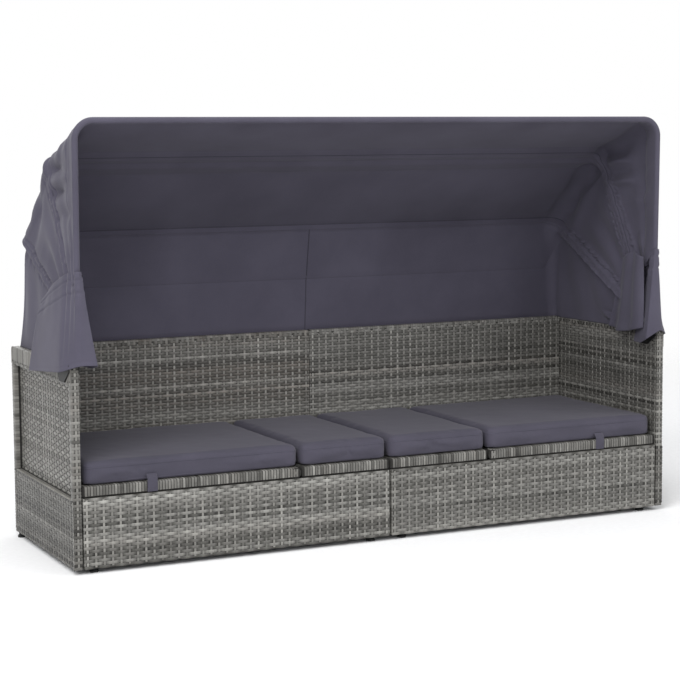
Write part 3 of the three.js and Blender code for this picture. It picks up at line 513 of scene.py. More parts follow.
class StrandMesh:
    """Collects strands, and the dark core behind them that paints the shade between them, into one mesh."""

    SPREAD = np.array((-0.5, -0.24, 0.24, 0.5))
    SHADE = 85.0

    def __init__(self, seed: int) -> None:
        """Starts an empty mesh."""
        self.random = random.Random(seed)
        self.blocks: list[MeshBlock] = []

    def drift(self, along: np.ndarray) -> np.ndarray:
        """Gives a slow change of tone along a strand."""
        knots = np.arange(0.0, along[-1] + 0.2, 0.07)
        return np.interp(along, knots, [self.random.uniform(-1, 1) for _ in knots])

    def add_strand(
        self, trail: Trail, width: float, tone: float, warmth: float, change: float = 0.1,
        crown: float = 0.0012, sunk: np.ndarray | None = None,
    ) -> None:
        """Adds one strand with a raised middle.

        Args:
            trail: Its route.
            width: Its width.
            tone: How light it is, from 0 to 1.
            warmth: How brown it is, from 0 to 1.
            change: How much its tone drifts along it.
            crown: How far its edges lie below its middle.
            sunk: How deep each place lies, or None; deeper places get a darker tone as painted shade.
        """
        places, normals, across = trail.places, trail.normals, trail.across
        number, sides = len(places), len(self.SPREAD)
        drop = crown * np.abs(2 * self.SPREAD) ** 2.2
        sideways = across[:, None] * (self.SPREAD * width)[:, None]
        rings = places[:, None] + sideways - normals[:, None] * drop[:, None]
        steps = np.linalg.norm(np.diff(places, axis=0), axis=1)
        along = np.concatenate(([0.0], np.cumsum(steps)))
        offset = self.random.uniform(0.0, 40.0)
        strand = np.empty((number, sides, 3))
        # Painted shade: the tone drops where the strand dives under a stake.
        shade = self.SHADE * sunk if sunk is not None else 0.0
        strand[..., 0] = (tone + change * self.drift(along) - shade)[:, None]
        strand[..., 1] = warmth
        strand[..., 2] = 0.0
        uv = np.empty((number, sides, 2))
        uv[..., 0] = along[:, None] + offset
        uv[..., 1] = self.SPREAD + 0.5 + offset
        run = (np.arange(number - 1)[:, None] * sides + np.arange(sides - 1)).ravel()
        quads = np.stack((run, run + sides, run + sides + 1, run + 1), axis=-1)
        if np.dot(np.cross(places[1] - places[0], across[0]), normals[0]) < 0:
            quads = quads[:, ::-1]
        block = MeshBlock(rings.reshape(-1, 3), strand.reshape(-1, 3), uv.reshape(-1, 2), quads, 0)
        self.blocks.append(block)

    def add_core(self, node: str, depth: float) -> None:
        """Adds a shrunk, dark copy of a CAD node's mesh, as painted shade behind the strands.

        Args:
            node: The node's name.
            depth: How far its surface moves in.
        """
        work = bmesh.new()
        work.from_mesh(bpy.data.objects[node].data)
        bmesh.ops.remove_doubles(work, verts=work.verts, dist=1e-5)
        bmesh.ops.recalc_face_normals(work, faces=work.faces)
        bmesh.ops.triangulate(work, faces=work.faces)
        work.normal_update()
        work.verts.index_update()
        points = np.array([v.co - v.normal * depth for v in work.verts])
        faces = np.array([[v.index for v in f.verts] for f in work.faces])
        work.free()
        self.add_shade(points, faces)

    def add_shade(self, points: np.ndarray, faces: np.ndarray) -> None:
        """Adds faces of the dark core, which is painted shade."""
        count = len(points)
        self.blocks.append(MeshBlock(points, np.zeros((count, 3)), np.zeros((count, 2)), faces, 1))

    def add_slab(self, low: Sequence[float], high: Sequence[float]) -> None:
        """Adds a dark slab behind an open weave, as painted shade seen through it.

        Args:
            low: Its lowest corner.
            high: Its highest corner.
        """
        xs, ys, zs = zip(low, high)
        points = np.array([(x, y, z) for z in zs for y in ys for x in xs])
        faces = np.array([
            (0, 2, 3, 1), (4, 5, 7, 6), (0, 1, 5, 4), (2, 6, 7, 3), (0, 4, 6, 2), (1, 3, 7, 5),
        ])
        self.add_shade(points, faces)

    def build(self, name: str, finishes: Sequence[Finish]) -> bpy.types.Object:
        """Makes the object.

        Args:
            name: The piece's name.
            finishes: The finish of the strands, then of the core.

        Returns:
            The new piece.
        """
        starts = np.cumsum([0] + [len(block.points) for block in self.blocks])
        corners = np.concatenate([(b.faces + start).ravel() for b, start in zip(self.blocks, starts)])
        sizes = np.concatenate([np.full(len(b.faces), b.faces.shape[1]) for b in self.blocks])
        slots = np.concatenate([np.full(len(b.faces), b.slot) for b in self.blocks])
        points = np.concatenate([b.points for b in self.blocks])
        mesh = bpy.data.meshes.new(name)
        mesh.vertices.add(len(points))
        mesh.vertices.foreach_set("co", points.astype(np.float32).ravel())
        mesh.loops.add(len(corners))
        mesh.loops.foreach_set("vertex_index", corners.astype(np.int32))
        mesh.polygons.add(len(sizes))
        mesh.polygons.foreach_set("loop_start", (np.cumsum(sizes) - sizes).astype(np.int32))
        mesh.polygons.foreach_set("material_index", slots.astype(np.int32))
        mesh.polygons.foreach_set("use_smooth", slots == 0)
        mesh.update(calc_edges=True)
        attribute = mesh.attributes.new("strand", "FLOAT_VECTOR", "POINT")
        strand = np.concatenate([b.strand for b in self.blocks])
        attribute.data.foreach_set("vector", strand.astype(np.float32).ravel())
        uv = np.concatenate([b.uv for b in self.blocks])
        mesh.uv_layers.new(name="strand").data.foreach_set("uv", uv[corners].astype(np.float32).ravel())
        return add_object(name, mesh, finishes)


@dataclass(frozen=True)
class Face:
    """One flat stretch of a row's outline, from start to end, facing along normal."""

    start: tuple[float, float]
    end: tuple[float, float]
    normal: tuple[float, float]
    woven: bool = False


@dataclass(frozen=True)
class Weave:
    """How strands cross the stakes of a woven face: over one and under the next."""

    BENDS_UNDER: ClassVar = (-0.0095, -0.0052, 0.0, 0.0052, 0.0095)
    BENDS_OVER: ClassVar = (-0.0070, 0.0, 0.0070)
    stake_pitch: float
    depth: float = 0.0029
    stake_over: float = 0.0007
    stake_under: float = 0.0022
    stake_width: float = 0.0062

    def crossings(self, row: int, start: float, end: float) -> np.ndarray:
        """Lists the places along a row where its strand bends.

        Args:
            row: The row's number.
            start: Where the face starts.
            end: Where it ends.

        Returns:
            The distances from the panel's end, in order.
        """
        spots, edge = [], 0.001
        first = math.ceil(start / self.stake_pitch - 0.5) - 1
        for stake in range(first, math.floor(end / self.stake_pitch + 0.5) + 1):
            middle = (stake + 0.5) * self.stake_pitch
            bends = self.BENDS_UNDER if (row + stake) % 2 else self.BENDS_OVER
            spots.extend(middle + away for away in bends)
        return np.array([spot for spot in spots if start + edge < spot < end - edge])

    def sink(self, row: int, along: np.ndarray) -> np.ndarray:
        """Gives how deep a row's strand lies.

        Args:
            row: The row's number.
            along: Distances from the panel's end.

        Returns:
            The depths below the panel's face.
        """
        stake = np.round(along / self.stake_pitch - 0.5)
        away = np.abs(along - (stake + 0.5) * self.stake_pitch)
        under = (row + stake) % 2 == 1
        apart = np.where(under, self.stake_pitch - away, away) / self.stake_pitch
        return self.depth * (0.5 - 0.5 * np.cos(math.pi * apart)) ** 1.15


def outline(
    faces: Sequence[Face], radius: float, weave: Weave, row: int,
) -> tuple[np.ndarray, np.ndarray, np.ndarray]:
    """Follows a run of faces whose corners are rounded, and sinks the strand under its stakes.

    Args:
        faces: The faces, each starting where the one before ends.
        radius: The radius of the rounded corners.
        weave: The weave of the woven faces.
        row: The row's number.

    Returns:
        The places in plan, the normals and how deep each place lies.
    """
    places, normals, sunk = [], [], []
    for index, face in enumerate(faces):
        start, end, normal = np.array(face.start), np.array(face.end), np.array(face.normal)
        length = float(np.linalg.norm(end - start))
        heading = (end - start) / length
        first = radius if index > 0 else 0.0
        last = length - (radius if index < len(faces) - 1 else 0.0)
        if face.woven:
            axis = 0 if abs(heading[0]) > 0.5 else 1
            low, high = sorted((start[axis], end[axis]))
            spots = weave.crossings(row, low + radius, high - radius)
            sink = weave.sink(row, spots)
            away = np.abs(spots - start[axis])
            order = np.argsort(away)
            away, sink = away[order], sink[order]
            away = np.concatenate(([first], away, [last]))
            sink = np.concatenate(([0.0], sink, [0.0]))
        else:
            away = np.linspace(first, last, max(2, round((last - first) / 0.02) + 1))
            sink = np.zeros(len(away))
        places.append(start + heading * away[:, None] - normal * sink[:, None])
        normals.append(np.tile(normal, (len(away), 1)))
        sunk.append(sink)
        if index < len(faces) - 1:
            both = normal + np.array(faces[index + 1].normal)
            bend = both / np.linalg.norm(both)
            outer = float(np.dot(heading, faces[index + 1].normal)) > 0
            places.append((end - both * radius + bend * radius if outer else end)[None])
            normals.append(bend[None])
            sunk.append(np.zeros(1))
    return np.concatenate(places), np.concatenate(normals), np.concatenate(sunk)


PITCH = 0.0088
WIDTH = 0.0084
PLAIN = Weave(0.024)
STAKE_WARMTH = 0.1
STAKE_CROWN = 0.0006
UP = (0.0, 0.0, 1.0)


class ToneScheme:
    """Chooses tones for strands: light, dark and brownish ones, as a maker's mixed reels give."""

    LEVELS = (0.26, 0.38, 0.47, 0.56, 0.65, 0.74)
    SHARES = (1, 3, 5, 5, 3, 1)

    def __init__(self, seed: int, lift: float = 0.0, warmth: float = 0.25) -> None:
        """Starts a series of tones.

        Args:
            seed: The seed of the random choice.
            lift: How much lighter than usual the tones are.
            warmth: How brown they are at most, from 0 to 1.
        """
        self.random = random.Random(seed)
        self.lift = lift
        self.warmth = warmth
        self.count = self.random.uniform(0, 50)

    def pick(self) -> tuple[float, float]:
        """Picks the next strand's tone and warmth.

        Returns:
            The tone and the warmth, each from 0 to 1.
        """
        self.count += 1
        band = 0.5 + 0.5 * math.sin(self.count * 0.43) * math.sin(self.count * 0.17 + 1)
        level = self.random.choices(self.LEVELS, self.SHARES)[0]
        tone = level + self.random.uniform(-0.06, 0.06) + self.lift
        warm = self.warmth * (0.3 + 1.1 * band ** 2) * self.random.uniform(0.6, 1.2)
        return tone, min(1.0, warm)


@dataclass(frozen=True)
class PanelPlace:
    """Where a woven panel stands: its origin and the directions of its length and of its outside."""

    origin: Vector
    along: Vector
    outwards: Vector
    length: float

    def point(self, u: float, t: float, z: float) -> Vector:
        """Turns panel coordinates into a place."""
        return self.origin + self.along * u + self.outwards * t + Vector((0, 0, z))

    def turn(self, u: float, t: float, z: float = 0.0) -> Vector:
        """Turns a direction in panel coordinates into a direction."""
        return self.along * u + self.outwards * t + Vector((0, 0, z))


@dataclass
class WovenPanel:
    """An arm or back panel: rows round a frame, loops over the top rail and an open recess outside."""

    name: str
    place: PanelPlace
    seed: int
    warmth: float
    depth: float = 0.0031
    ledge_width: float = 0.0094
    loop_lift: float = 0.0004
    rail_wrap: float = 0.014
    # Painted shade: the rows below the ledge are drawn darker than those above it.
    low_shade: float = -0.18
    high_tone: float = -0.03
    low_rows: int = round((SIZE.ledge - SIZE.foot_top) / PITCH)
    high_rows: int = round((SIZE.top - SIZE.ledge) / PITCH)

    def __post_init__(self) -> None:
        """Sets up the mesh, the tones and the weaves."""
        self.mesh = StrandMesh(self.seed)
        self.tones = ToneScheme(self.seed + 1, warmth=self.warmth)
        self.weave = Weave(self.place.length / round(self.place.length / PLAIN.stake_pitch))
        self.shallow = replace(self.weave, depth=0.0019, stake_over=0.0004, stake_under=0.0015)
        self.levels: list[tuple[int, float, float]] = []

    def corner_inset(self, away: float, radius: float = SIZE.corner) -> float:
        """Gives how far a rounded corner pulls the outline in at a distance from its end."""
        if away >= radius:
            return 0.0
        return radius - math.sqrt(max(0.0, radius ** 2 - (radius - away) ** 2))

    def lay(
        self, faces: Sequence[Face], row: int, z: float, lift: float = 0.0, width: float = WIDTH,
        weave: Weave | None = None,
    ) -> None:
        """Lays one row along a run of faces.

        Args:
            faces: The faces, in plan.
            row: The row's number.
            z: The row's height.
            lift: How much lighter than usual its strand is.
            width: Its strand's width.
            weave: Its weave, or None for the panel's own.
        """
        plan, normals, sunk = outline(faces, SIZE.edge, weave or self.weave, row)
        along, outwards = np.array(self.place.along), np.array(self.place.outwards)
        base = np.array(self.place.origin) + plan[:, :1] * along + plan[:, 1:] * outwards
        places = base + np.array((0, 0, z))
        facing = normals[:, :1] * along + normals[:, 1:] * outwards
        up = np.tile(UP, (len(plan), 1))
        tone, warmth = self.tones.pick()
        self.mesh.add_strand(Trail(places, facing, up), width, tone + lift, warmth, sunk=sunk)

    def add_rows(self) -> None:
        """Adds the horizontal strands."""
        length, deep = self.place.length, SIZE.panel
        low_pitch = (SIZE.ledge - SIZE.foot_top) / self.low_rows
        high_pitch = (SIZE.top - SIZE.ledge) / self.high_rows
        stile, wrap = SIZE.stile, self.rail_wrap
        for row in range(self.low_rows + self.high_rows):
            lower = row < self.low_rows
            z = SIZE.foot_top + low_pitch * (row + 0.5)
            if not lower:
                z = SIZE.ledge + high_pitch * (row - self.low_rows + 0.5)
            start = max(self.corner_inset(z - SIZE.foot_top), self.corner_inset(SIZE.top - z))
            end = length - start
            self.levels.append((row, z, start))
            inner = Face((start, 0.0), (end, 0.0), (0, -1), True)
            rear = Face((end, 0.0), (end, deep), (1, 0), True)
            front = Face((start, deep), (start, 0.0), (-1, 0), True)
            if lower or z > SIZE.top - SIZE.top_rail:
                faces = [front, inner, rear, Face((end, deep), (start, deep), (0, 1), True)]
            else:
                faces = [
                    Face((start + stile, deep - wrap), (start + stile, deep), (1, 0)),
                    Face((start + stile, deep), (start, deep), (0, 1)),
                    front, inner, rear,
                    Face((end, deep), (end - stile, deep), (0, 1)),
                    Face((end - stile, deep), (end - stile, deep - wrap), (-1, 0)),
                ]
            self.lay(faces, row, z, self.low_shade if lower else self.high_tone)

    def add_recess(self, lift: float) -> None:
        """Adds the weave in the recess and the strands on its ledge.

        Args:
            lift: How much lighter than the rest its strands are.
        """
        low, high = SIZE.ledge, SIZE.top - SIZE.top_rail
        start, end = SIZE.stile, self.place.length - SIZE.stile
        rows = round((high - low) / PITCH)
        pitch = (high - low) / rows
        for row in range(rows):
            face = Face((end, SIZE.infill), (start, SIZE.infill), (0, 1), True)
            self.lay([face], row, low + pitch * (row + 0.5), lift, weave=self.shallow)
        self.add_stakes((start, end), SIZE.infill, 1, (low, high), pitch, self.shallow, lift)
        for share in (0.25, 0.75):
            depth = SIZE.infill + (SIZE.panel - SIZE.infill) * share
            count = max(2, round((end - start) / 0.02))
            spots = [
                self.place.point(start + (end - start) * i / count, depth, SIZE.ledge)
                for i in range(count + 1)
            ]
            trail = Trail.straight(spots, UP, self.place.turn(0, 1))
            tone, warmth = self.tones.pick()
            self.mesh.add_strand(trail, self.ledge_width, tone, warmth)

    def add_stakes(
        self, reach: tuple[float, float], face: float, facing: int, heights: tuple[float, float],
        pitch: float, weave: Weave, lift: float = 0.0,
    ) -> None:
        """Adds the upright stakes that the rows cross.

        Args:
            reach: Where the face starts and ends along the panel.
            face: The depth of the face in the panel.
            facing: 1 to face out of the daybed, -1 to face into it.
            heights: Their lowest and highest points.
            pitch: The distance between rows.
            weave: The face's weave.
            lift: How much lighter than usual they are.
        """
        low, high = heights
        rows = round((high - low) / pitch)
        first = math.ceil(reach[0] / weave.stake_pitch - 0.5)
        for stake in range(first, math.floor(reach[1] / weave.stake_pitch - 0.5) + 1):
            u = weave.stake_pitch * (stake + 0.5)
            spots = []
            for row in range(rows):
                sink = weave.stake_over if (row + stake) % 2 else weave.stake_under
                spots.append(self.place.point(u, face - facing * sink, low + pitch * (row + 0.5)))
            trail = Trail.straight(spots, self.place.turn(0, facing), self.place.turn(1, 0))
            tone = 0.70 + self.tones.random.uniform(-0.2, 0.14) + lift
            self.mesh.add_strand(trail, weave.stake_width, tone, STAKE_WARMTH, crown=STAKE_CROWN)

    def add_end_stakes(self) -> None:
        """Adds the stake in the middle of the panel's front and rear ends."""
        weave, middle = self.weave, self.weave.stake_pitch / 2
        for end, facing in ((0.0, -1), (self.place.length, 1)):
            spots = []
            for row, z, start in self.levels:
                sink = weave.stake_over if row % 2 else weave.stake_under
                spots.append(self.place.point(end - facing * (start + sink), middle, z))
            trail = Trail.straight(spots, self.place.turn(facing, 0), self.place.turn(0, 1))
            self.mesh.add_strand(trail, weave.stake_width, 0.66, STAKE_WARMTH, crown=STAKE_CROWN)

    def add_loops(self) -> None:
        """Adds the loops that bind the top rail."""
        count = round(self.place.length / PITCH)
        pitch = self.place.length / count
        for loop in range(count):
            u = pitch * (loop + 0.5)
            top, deep = SIZE.top - self.corner_inset(min(u, self.place.length - u)), SIZE.panel
            reach = 0.0075 if loop % 2 else 0.0165
            low = SIZE.top - SIZE.top_rail
            faces = [
                Face((0.0, SIZE.top - reach), (0.0, top), (-1, 0)),
                Face((0.0, top), (deep, top), (0, 1)),
                Face((deep, top), (deep, low + 0.010 * (loop % 2)), (1, 0)),
            ]
            plan, normals, _ = outline(faces, SIZE.edge, PLAIN, 0)
            places = np.array([self.place.point(u, t, z) for t, z in plan])
            facing = np.array([self.place.turn(0, t, z) for t, z in normals])
            across = np.tile(np.array(self.place.turn(1, 0)), (len(plan), 1))
            tone, warmth = self.tones.pick()
            trail = Trail(places + facing * self.loop_lift, facing, across)
            self.mesh.add_strand(trail, WIDTH, tone * 0.7 + 0.1, warmth)

    def build(self, nodes: Sequence[str], lift: float) -> bpy.types.Object:
        """Builds the panel and hides the CAD nodes that it stands for.

        Args:
            nodes: The frame and the two infills.
            lift: How much lighter the outer recess is.

        Returns:
            The new piece.
        """
        frame_node, *infills = nodes
        self.mesh.add_core(frame_node, self.depth)
        for node in infills:
            low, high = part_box(node)
            ends = sorted(self.place.along.dot(corner - self.place.origin) for corner in (low, high))
            corners = (
                self.place.point(ends[0] - 0.004, self.depth, low.z - 0.004),
                self.place.point(ends[1] + 0.004, self.depth + 0.0003, high.z + 0.004),
            )
            self.mesh.add_slab([min(pair) for pair in zip(*corners)], [max(pair) for pair in zip(*corners)])
        self.add_rows()
        self.add_recess(lift)
        whole = (0.0, self.place.length)
        low, high = (SIZE.foot_top, SIZE.ledge), (SIZE.ledge, SIZE.top - 0.009)
        low_pitch = (SIZE.ledge - SIZE.foot_top) / self.low_rows
        high_pitch = (SIZE.top - SIZE.ledge) / self.high_rows
        self.add_stakes(whole, 0.0, -1, low, low_pitch, self.weave)
        self.add_stakes(whole, 0.0, -1, high, high_pitch, self.weave)
        self.add_stakes(whole, SIZE.panel, 1, low, low_pitch, self.weave)
        self.add_end_stakes()
        self.add_loops()
        piece = self.mesh.build(self.name, (Finish.RATTAN, Finish.CORE))
        dress(piece, nodes, "daybed_body")
        return piece


@dataclass
class WovenApron:
    """The woven board across the front of a seat module."""

    name: str
    node: str
    seed: int
    corner: float = 0.008
    setback: float = 0.002

    def __post_init__(self) -> None:
        """Places the board."""
        self.low, self.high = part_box(self.node)
        low, high = self.low, self.high
        place = PanelPlace(
            Vector((low.x, low.y, 0)), Vector((1, 0, 0)), Vector((0, 1, 0)), high.x - low.x,
        )
        self.panel = WovenPanel(self.name, place, self.seed, 0.12)
        self.panel.tones.lift = 0.08
        self.weave = replace(self.panel.weave, depth=0.0036)

    def build(self) -> bpy.types.Object:
        """Builds the board.

        Returns:
            The new piece.
        """
        low, high, panel = self.low, self.high, self.panel
        length, deep = high.x - low.x, high.y - low.y
        rows = round((high.z - low.z) / PITCH)
        pitch = (high.z - low.z) / rows
        panel.mesh.add_core(self.node, 0.0042)
        for row in range(rows):
            z = low.z + pitch * (row + 0.5)
            inset = self.setback + panel.corner_inset(min(z - low.z, high.z - z), self.corner)
            start, end = inset, length - inset
            panel.lay([
                Face((start, deep), (start, 0.0), (-1, 0)),
                Face((start, 0.0), (end, 0.0), (0, -1), True),
                Face((end, 0.0), (end, deep), (1, 0)),
            ], row, z, width=pitch - 0.0002, weave=self.weave)
        panel.add_stakes((0.0, length), 0.0, -1, (low.z, high.z), pitch, self.weave)
        count, inset = 40, 0.006
        for share in (0.3, 0.72):
            spots = [
                (low.x + inset + (length - 2 * inset) * i / count, low.y + deep * share, high.z)
                for i in range(count + 1)
            ]
            tone, warmth = panel.tones.pick()
            panel.mesh.add_strand(Trail.straight(spots, UP, (0, 1, 0)), 0.009, tone * 0.5, warmth)
        piece = panel.mesh.build(panel.name, (Finish.RATTAN, Finish.CORE))
        dress(piece, [self.node], "daybed_body")
        return piece


@dataclass
class WrappedFrame:
    """A seat panel's rectangular frame, with strand wound round each of its rails."""

    name: str
    node: str
    body: str
    seed: int
    rod: str = ""
    rail: float = 0.024
    lift: float = 0.0002
    pitch: float = 0.0087
    core_depth: float = 0.0006
    corner: float = 0.009
    round_inset: float = 0.0009
    drift: float = 0.2

    def __post_init__(self) -> None:
        """Places the frame and finds its hinge."""
        self.low, self.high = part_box(self.node)
        self.mesh = StrandMesh(self.seed)
        self.tones = ToneScheme(self.seed + 1, lift=-0.09, warmth=0.15)
        self.hinge = sum(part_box(self.rod), Vector()) / 2 if self.rod else None
        self.round = (self.high.z - self.low.z) / 2 - self.round_inset

    def squeeze(self, place: Vector) -> float:
        """Gives the height that is left where the frame rounds off past its hinge.

        Args:
            place: A place on the frame.

        Returns:
            The share of the frame's height.
        """
        if self.hinge is None:
            return 1.0
        past = abs(self.hinge.x) - abs(place.x)
        return 1.0 if past <= 0 else max(0.2, 1 - (past / self.round) ** 2) ** 0.5

    def wind(self, origin: Vector, along: Vector, inwards: Vector, length: float) -> None:
        """Winds strand round one rail.

        Args:
            origin: The rail's outer low corner at its start.
            along: The direction of its length.
            inwards: The direction from its outer side to its inner side.
            length: Its length.
        """
        deep, rail = self.high.z - self.low.z, self.rail
        count = round(length / self.pitch)
        pitch = length / count
        rounded = self.hinge is not None and abs(along.y) > 0.5 and self.squeeze(origin) < 1
        runs = [
            [Face((rail, 0.0), (0.004, 0.0), (0, -1))],
            [Face((0.0, 0.0048), (0.0, deep), (-1, 0)), Face((0.0, deep), (rail, deep), (0, 1))],
        ]
        if rounded:
            low, high = self.round_inset, deep - self.round_inset
            runs = [[
                Face((rail, low), (low, low), (0, -1)), Face((low, low), (low, high), (-1, 0)),
                Face((low, high), (rail, high), (0, 1)),
            ]]
        for turn in range(count):
            base = origin + along * pitch * (turn + 0.5)
            tone, warmth = self.tones.pick()
            share = 1.0 if rounded else self.squeeze(base)
            for faces in runs:
                plan, facing, _ = outline(faces, self.round - 0.0002 if rounded else 0.005, PLAIN, 0)
                normals = np.array([inwards * t + Vector((0, 0, z)) for t, z in facing])
                places = np.array([
                    base + inwards * t + Vector((0, 0, deep / 2 + (z - deep / 2) * share)) for t, z in plan
                ])
                across = np.tile(np.array(along), (len(plan), 1))
                trail = Trail(places + normals * self.lift, normals, across)
                self.mesh.add_strand(trail, pitch, tone, warmth, self.drift)

    def build(self) -> bpy.types.Object:
        """Builds the frame.

        Returns:
            The new piece.
        """
        low, high = self.low, self.high
        self.mesh.add_core(self.node, self.core_depth)
        width, depth = high.x - low.x, high.y - low.y
        x, y = Vector((1, 0, 0)), Vector((0, 1, 0))
        long, short = width - 2 * self.corner, depth - 2 * self.rail
        self.wind(Vector((low.x + self.corner, low.y, low.z)), x, y, long)
        self.wind(Vector((low.x + self.corner, high.y, low.z)), x, -y, long)
        self.wind(Vector((low.x, low.y + self.rail, low.z)), y, x, short)
        self.wind(Vector((high.x, low.y + self.rail, low.z)), y, -x, short)
        piece = self.mesh.build(self.name, (Finish.RATTAN, Finish.CORE))
        dress(piece, [self.node], self.body)
        return piece


@dataclass
class WovenDeck:
    """The woven deck in a reclining panel: its underside, which shows when the panel is up."""

    name: str
    node: str
    body: str
    seed: int

    def __post_init__(self) -> None:
        """Places the deck."""
        self.low, self.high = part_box(self.node)
        self.mesh = StrandMesh(self.seed)
        self.tones = ToneScheme(self.seed + 1, lift=0.02, warmth=0.15)

    def build(self) -> bpy.types.Object:
        """Builds the deck.

        Returns:
            The new piece.
        """
        low, high = self.low, self.high
        length = high.x - low.x
        weave = Weave(length / round(length / PLAIN.stake_pitch))
        rows = round((high.y - low.y) / PITCH)
        pitch = (high.y - low.y) / rows
        down = (0, 0, -1)
        for row in range(rows):
            face = Face((0.0, 0.0), (length, 0.0), (0, -1), True)
            plan, _, sunk = outline([face], SIZE.edge, weave, row)
            places = np.array([(low.x + u, low.y + pitch * (row + 0.5), low.z + t) for u, t in plan])
            tone, warmth = self.tones.pick()
            self.mesh.add_strand(Trail.straight(places, down, (0, 1, 0)), WIDTH, tone, warmth, sunk=sunk)
        for stake in range(round(length / weave.stake_pitch)):
            u = weave.stake_pitch * (stake + 0.5)
            sinks = [weave.stake_over if (row + stake) % 2 else weave.stake_under for row in range(rows)]
            places = [
                (low.x + u, low.y + pitch * (row + 0.5), low.z + sink) for row, sink in enumerate(sinks)
            ]
            trail = Trail.straight(places, down, (1, 0, 0))
            self.mesh.add_strand(trail, weave.stake_width, 0.62, STAKE_WARMTH, crown=STAKE_CROWN)
        self.mesh.add_slab((low.x, low.y, low.z + 0.0031), high)
        piece = self.mesh.build(self.name, (Finish.RATTAN, Finish.CORE))
        dress(piece, [self.node], self.body)
        return piece


# Cushions


@dataclass
class Cushion:
    """A foam cushion in a boxed cover with a sewn seam round its top edge."""

    name: str
    node: str
    body: str
    step: float = 0.010
    layers: int = 7
    corner: float = 0.022
    top_edge: float = 0.011
    low_edge: float = 0.007
    draw_in: float = 0.0035
    most_swell: float = 0.004
    voxel: float = 0.0075
    crown: float = 0.003
    frames: int = 14
    seam_drop: float = 0.0085
    seam_sides: int = 6
    seam_rings: int = 260

    def __post_init__(self) -> None:
        """Places the cushion."""
        self.low, self.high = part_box(self.node)

    def form(self) -> bpy.types.Object:
        """Makes the cushion's starting shape: a rounded box with crowned faces.

        Returns:
            The starting object.
        """
        middle = (self.low + self.high) / 2
        half = (self.high - self.low) / 2
        counts = (round(half.x * 2 / self.step), round(half.y * 2 / self.step), self.layers)
        work = bmesh.new()
        points: dict[tuple[int, int, int], bmesh.types.BMVert] = {}

        def vertex(i: int, j: int, k: int) -> bmesh.types.BMVert:
            """Gives the vertex at a place of the lattice."""
            key = (i, j, k)
            if key not in points:
                shares = (i / counts[0], j / counts[1], k / counts[2])
                points[key] = work.verts.new(self.place(shares, middle, half))
            return points[key]

        for axis in range(3):
            first, second = [a for a in range(3) if a != axis]
            for end in (0, counts[axis]):
                for a in range(counts[first]):
                    for b in range(counts[second]):
                        quad = []
                        for da, db in ((0, 0), (1, 0), (1, 1), (0, 1)):
                            index = [0, 0, 0]
                            index[axis], index[first], index[second] = end, a + da, b + db
                            quad.append(vertex(*index))
                        work.faces.new(quad)
        bmesh.ops.recalc_face_normals(work, faces=work.faces)
        mesh = bpy.data.meshes.new(self.name)
        work.to_mesh(mesh)
        work.free()
        mesh.polygons.foreach_set("use_smooth", np.ones(len(mesh.polygons), bool))
        return add_object(self.name, mesh, (Finish.CUSHION,))

    def place(self, shares: Sequence[float], middle: Vector, half: Vector) -> Vector:
        """Gives a place on the starting shape from shares across it.

        Args:
            shares: The shares along X, Y and Z.
            middle: The cushion's middle.
            half: Half its size.

        Returns:
            The place.
        """
        x, y, z = (2 * share - 1 for share in shares)
        side = Vector((x * half.x, y * half.y, z * half.z))
        radius = self.top_edge if z > 0 else self.low_edge
        inner = Vector((
            max(-half.x + radius, min(half.x - radius, side.x)),
            max(-half.y + radius, min(half.y - radius, side.y)),
            max(-half.z + radius, min(half.z - radius, side.z)),
        ))
        away = side - inner
        if away.length > 0:
            side = inner + away.normalized() * radius
        start_x, start_y = half.x - self.corner, half.y - self.corner
        corner = Vector((max(0.0, abs(side.x) - start_x), max(0.0, abs(side.y) - start_y), 0.0))
        if corner.x > 0 and corner.y > 0:
            stretch = max(corner.x, corner.y) / corner.length
            side.x = math.copysign(start_x + corner.x * stretch, side.x)
            side.y = math.copysign(start_y + corner.y * stretch, side.y)
        crown = (1 - x * x) ** 0.5 * (1 - y * y) ** 0.5
        if z > 0:
            side.z += z * (0.004 * crown - 0.002)
        pull = self.draw_in * (1 - z * z)
        side.x -= math.copysign(pull * (1 - y ** 4), x) * abs(x) ** 9
        side.y -= math.copysign(pull * (1 - x ** 4), y) * abs(y) ** 9
        return middle + side

    def puff(self, piece: bpy.types.Object) -> None:
        """Fills the cover by a short cloth simulation.

        Args:
            piece: The starting object, whose mesh is replaced.
        """
        scene = bpy.context.scene
        bpy.context.view_layer.objects.active = piece
        remesh = piece.modifiers.new("remesh", "REMESH")
        remesh.mode = "VOXEL"
        remesh.voxel_size = self.voxel
        bpy.ops.object.modifier_apply(modifier=remesh.name)
        start = read_vertices(piece.data, "co")
        cloth = piece.modifiers.new("cloth", "CLOTH")
        cloth.settings.use_pressure = True
        cloth.settings.uniform_pressure_force = 2.5
        cloth.settings.tension_stiffness = 30
        cloth.settings.compression_stiffness = 30
        cloth.settings.bending_stiffness = 1.0
        cloth.settings.effector_weights.gravity = 0
        cloth.collision_settings.use_collision = False
        cloth.point_cache.frame_start = 1
        cloth.point_cache.frame_end = self.frames
        for frame in range(1, self.frames + 1):
            scene.frame_set(frame)
        bpy.ops.object.modifier_apply(modifier=cloth.name)
        scene.frame_set(1)
        move = read_vertices(piece.data, "co") - start
        size = np.linalg.norm(move, axis=1, keepdims=True)
        move *= np.minimum(1.0, self.most_swell / np.maximum(size, 1e-9))
        after = start + move
        low, high = np.array(self.low), np.array(self.high)
        after = np.clip(after, low + [0, 0, 0.0001], high + [0, 0, self.crown])
        piece.data.vertices.foreach_set("co", after.ravel())
        piece.data.update()
        subdivide = piece.modifiers.new("smooth", "SUBSURF")
        subdivide.levels = subdivide.render_levels = 1
        bpy.ops.object.modifier_apply(modifier=subdivide.name)

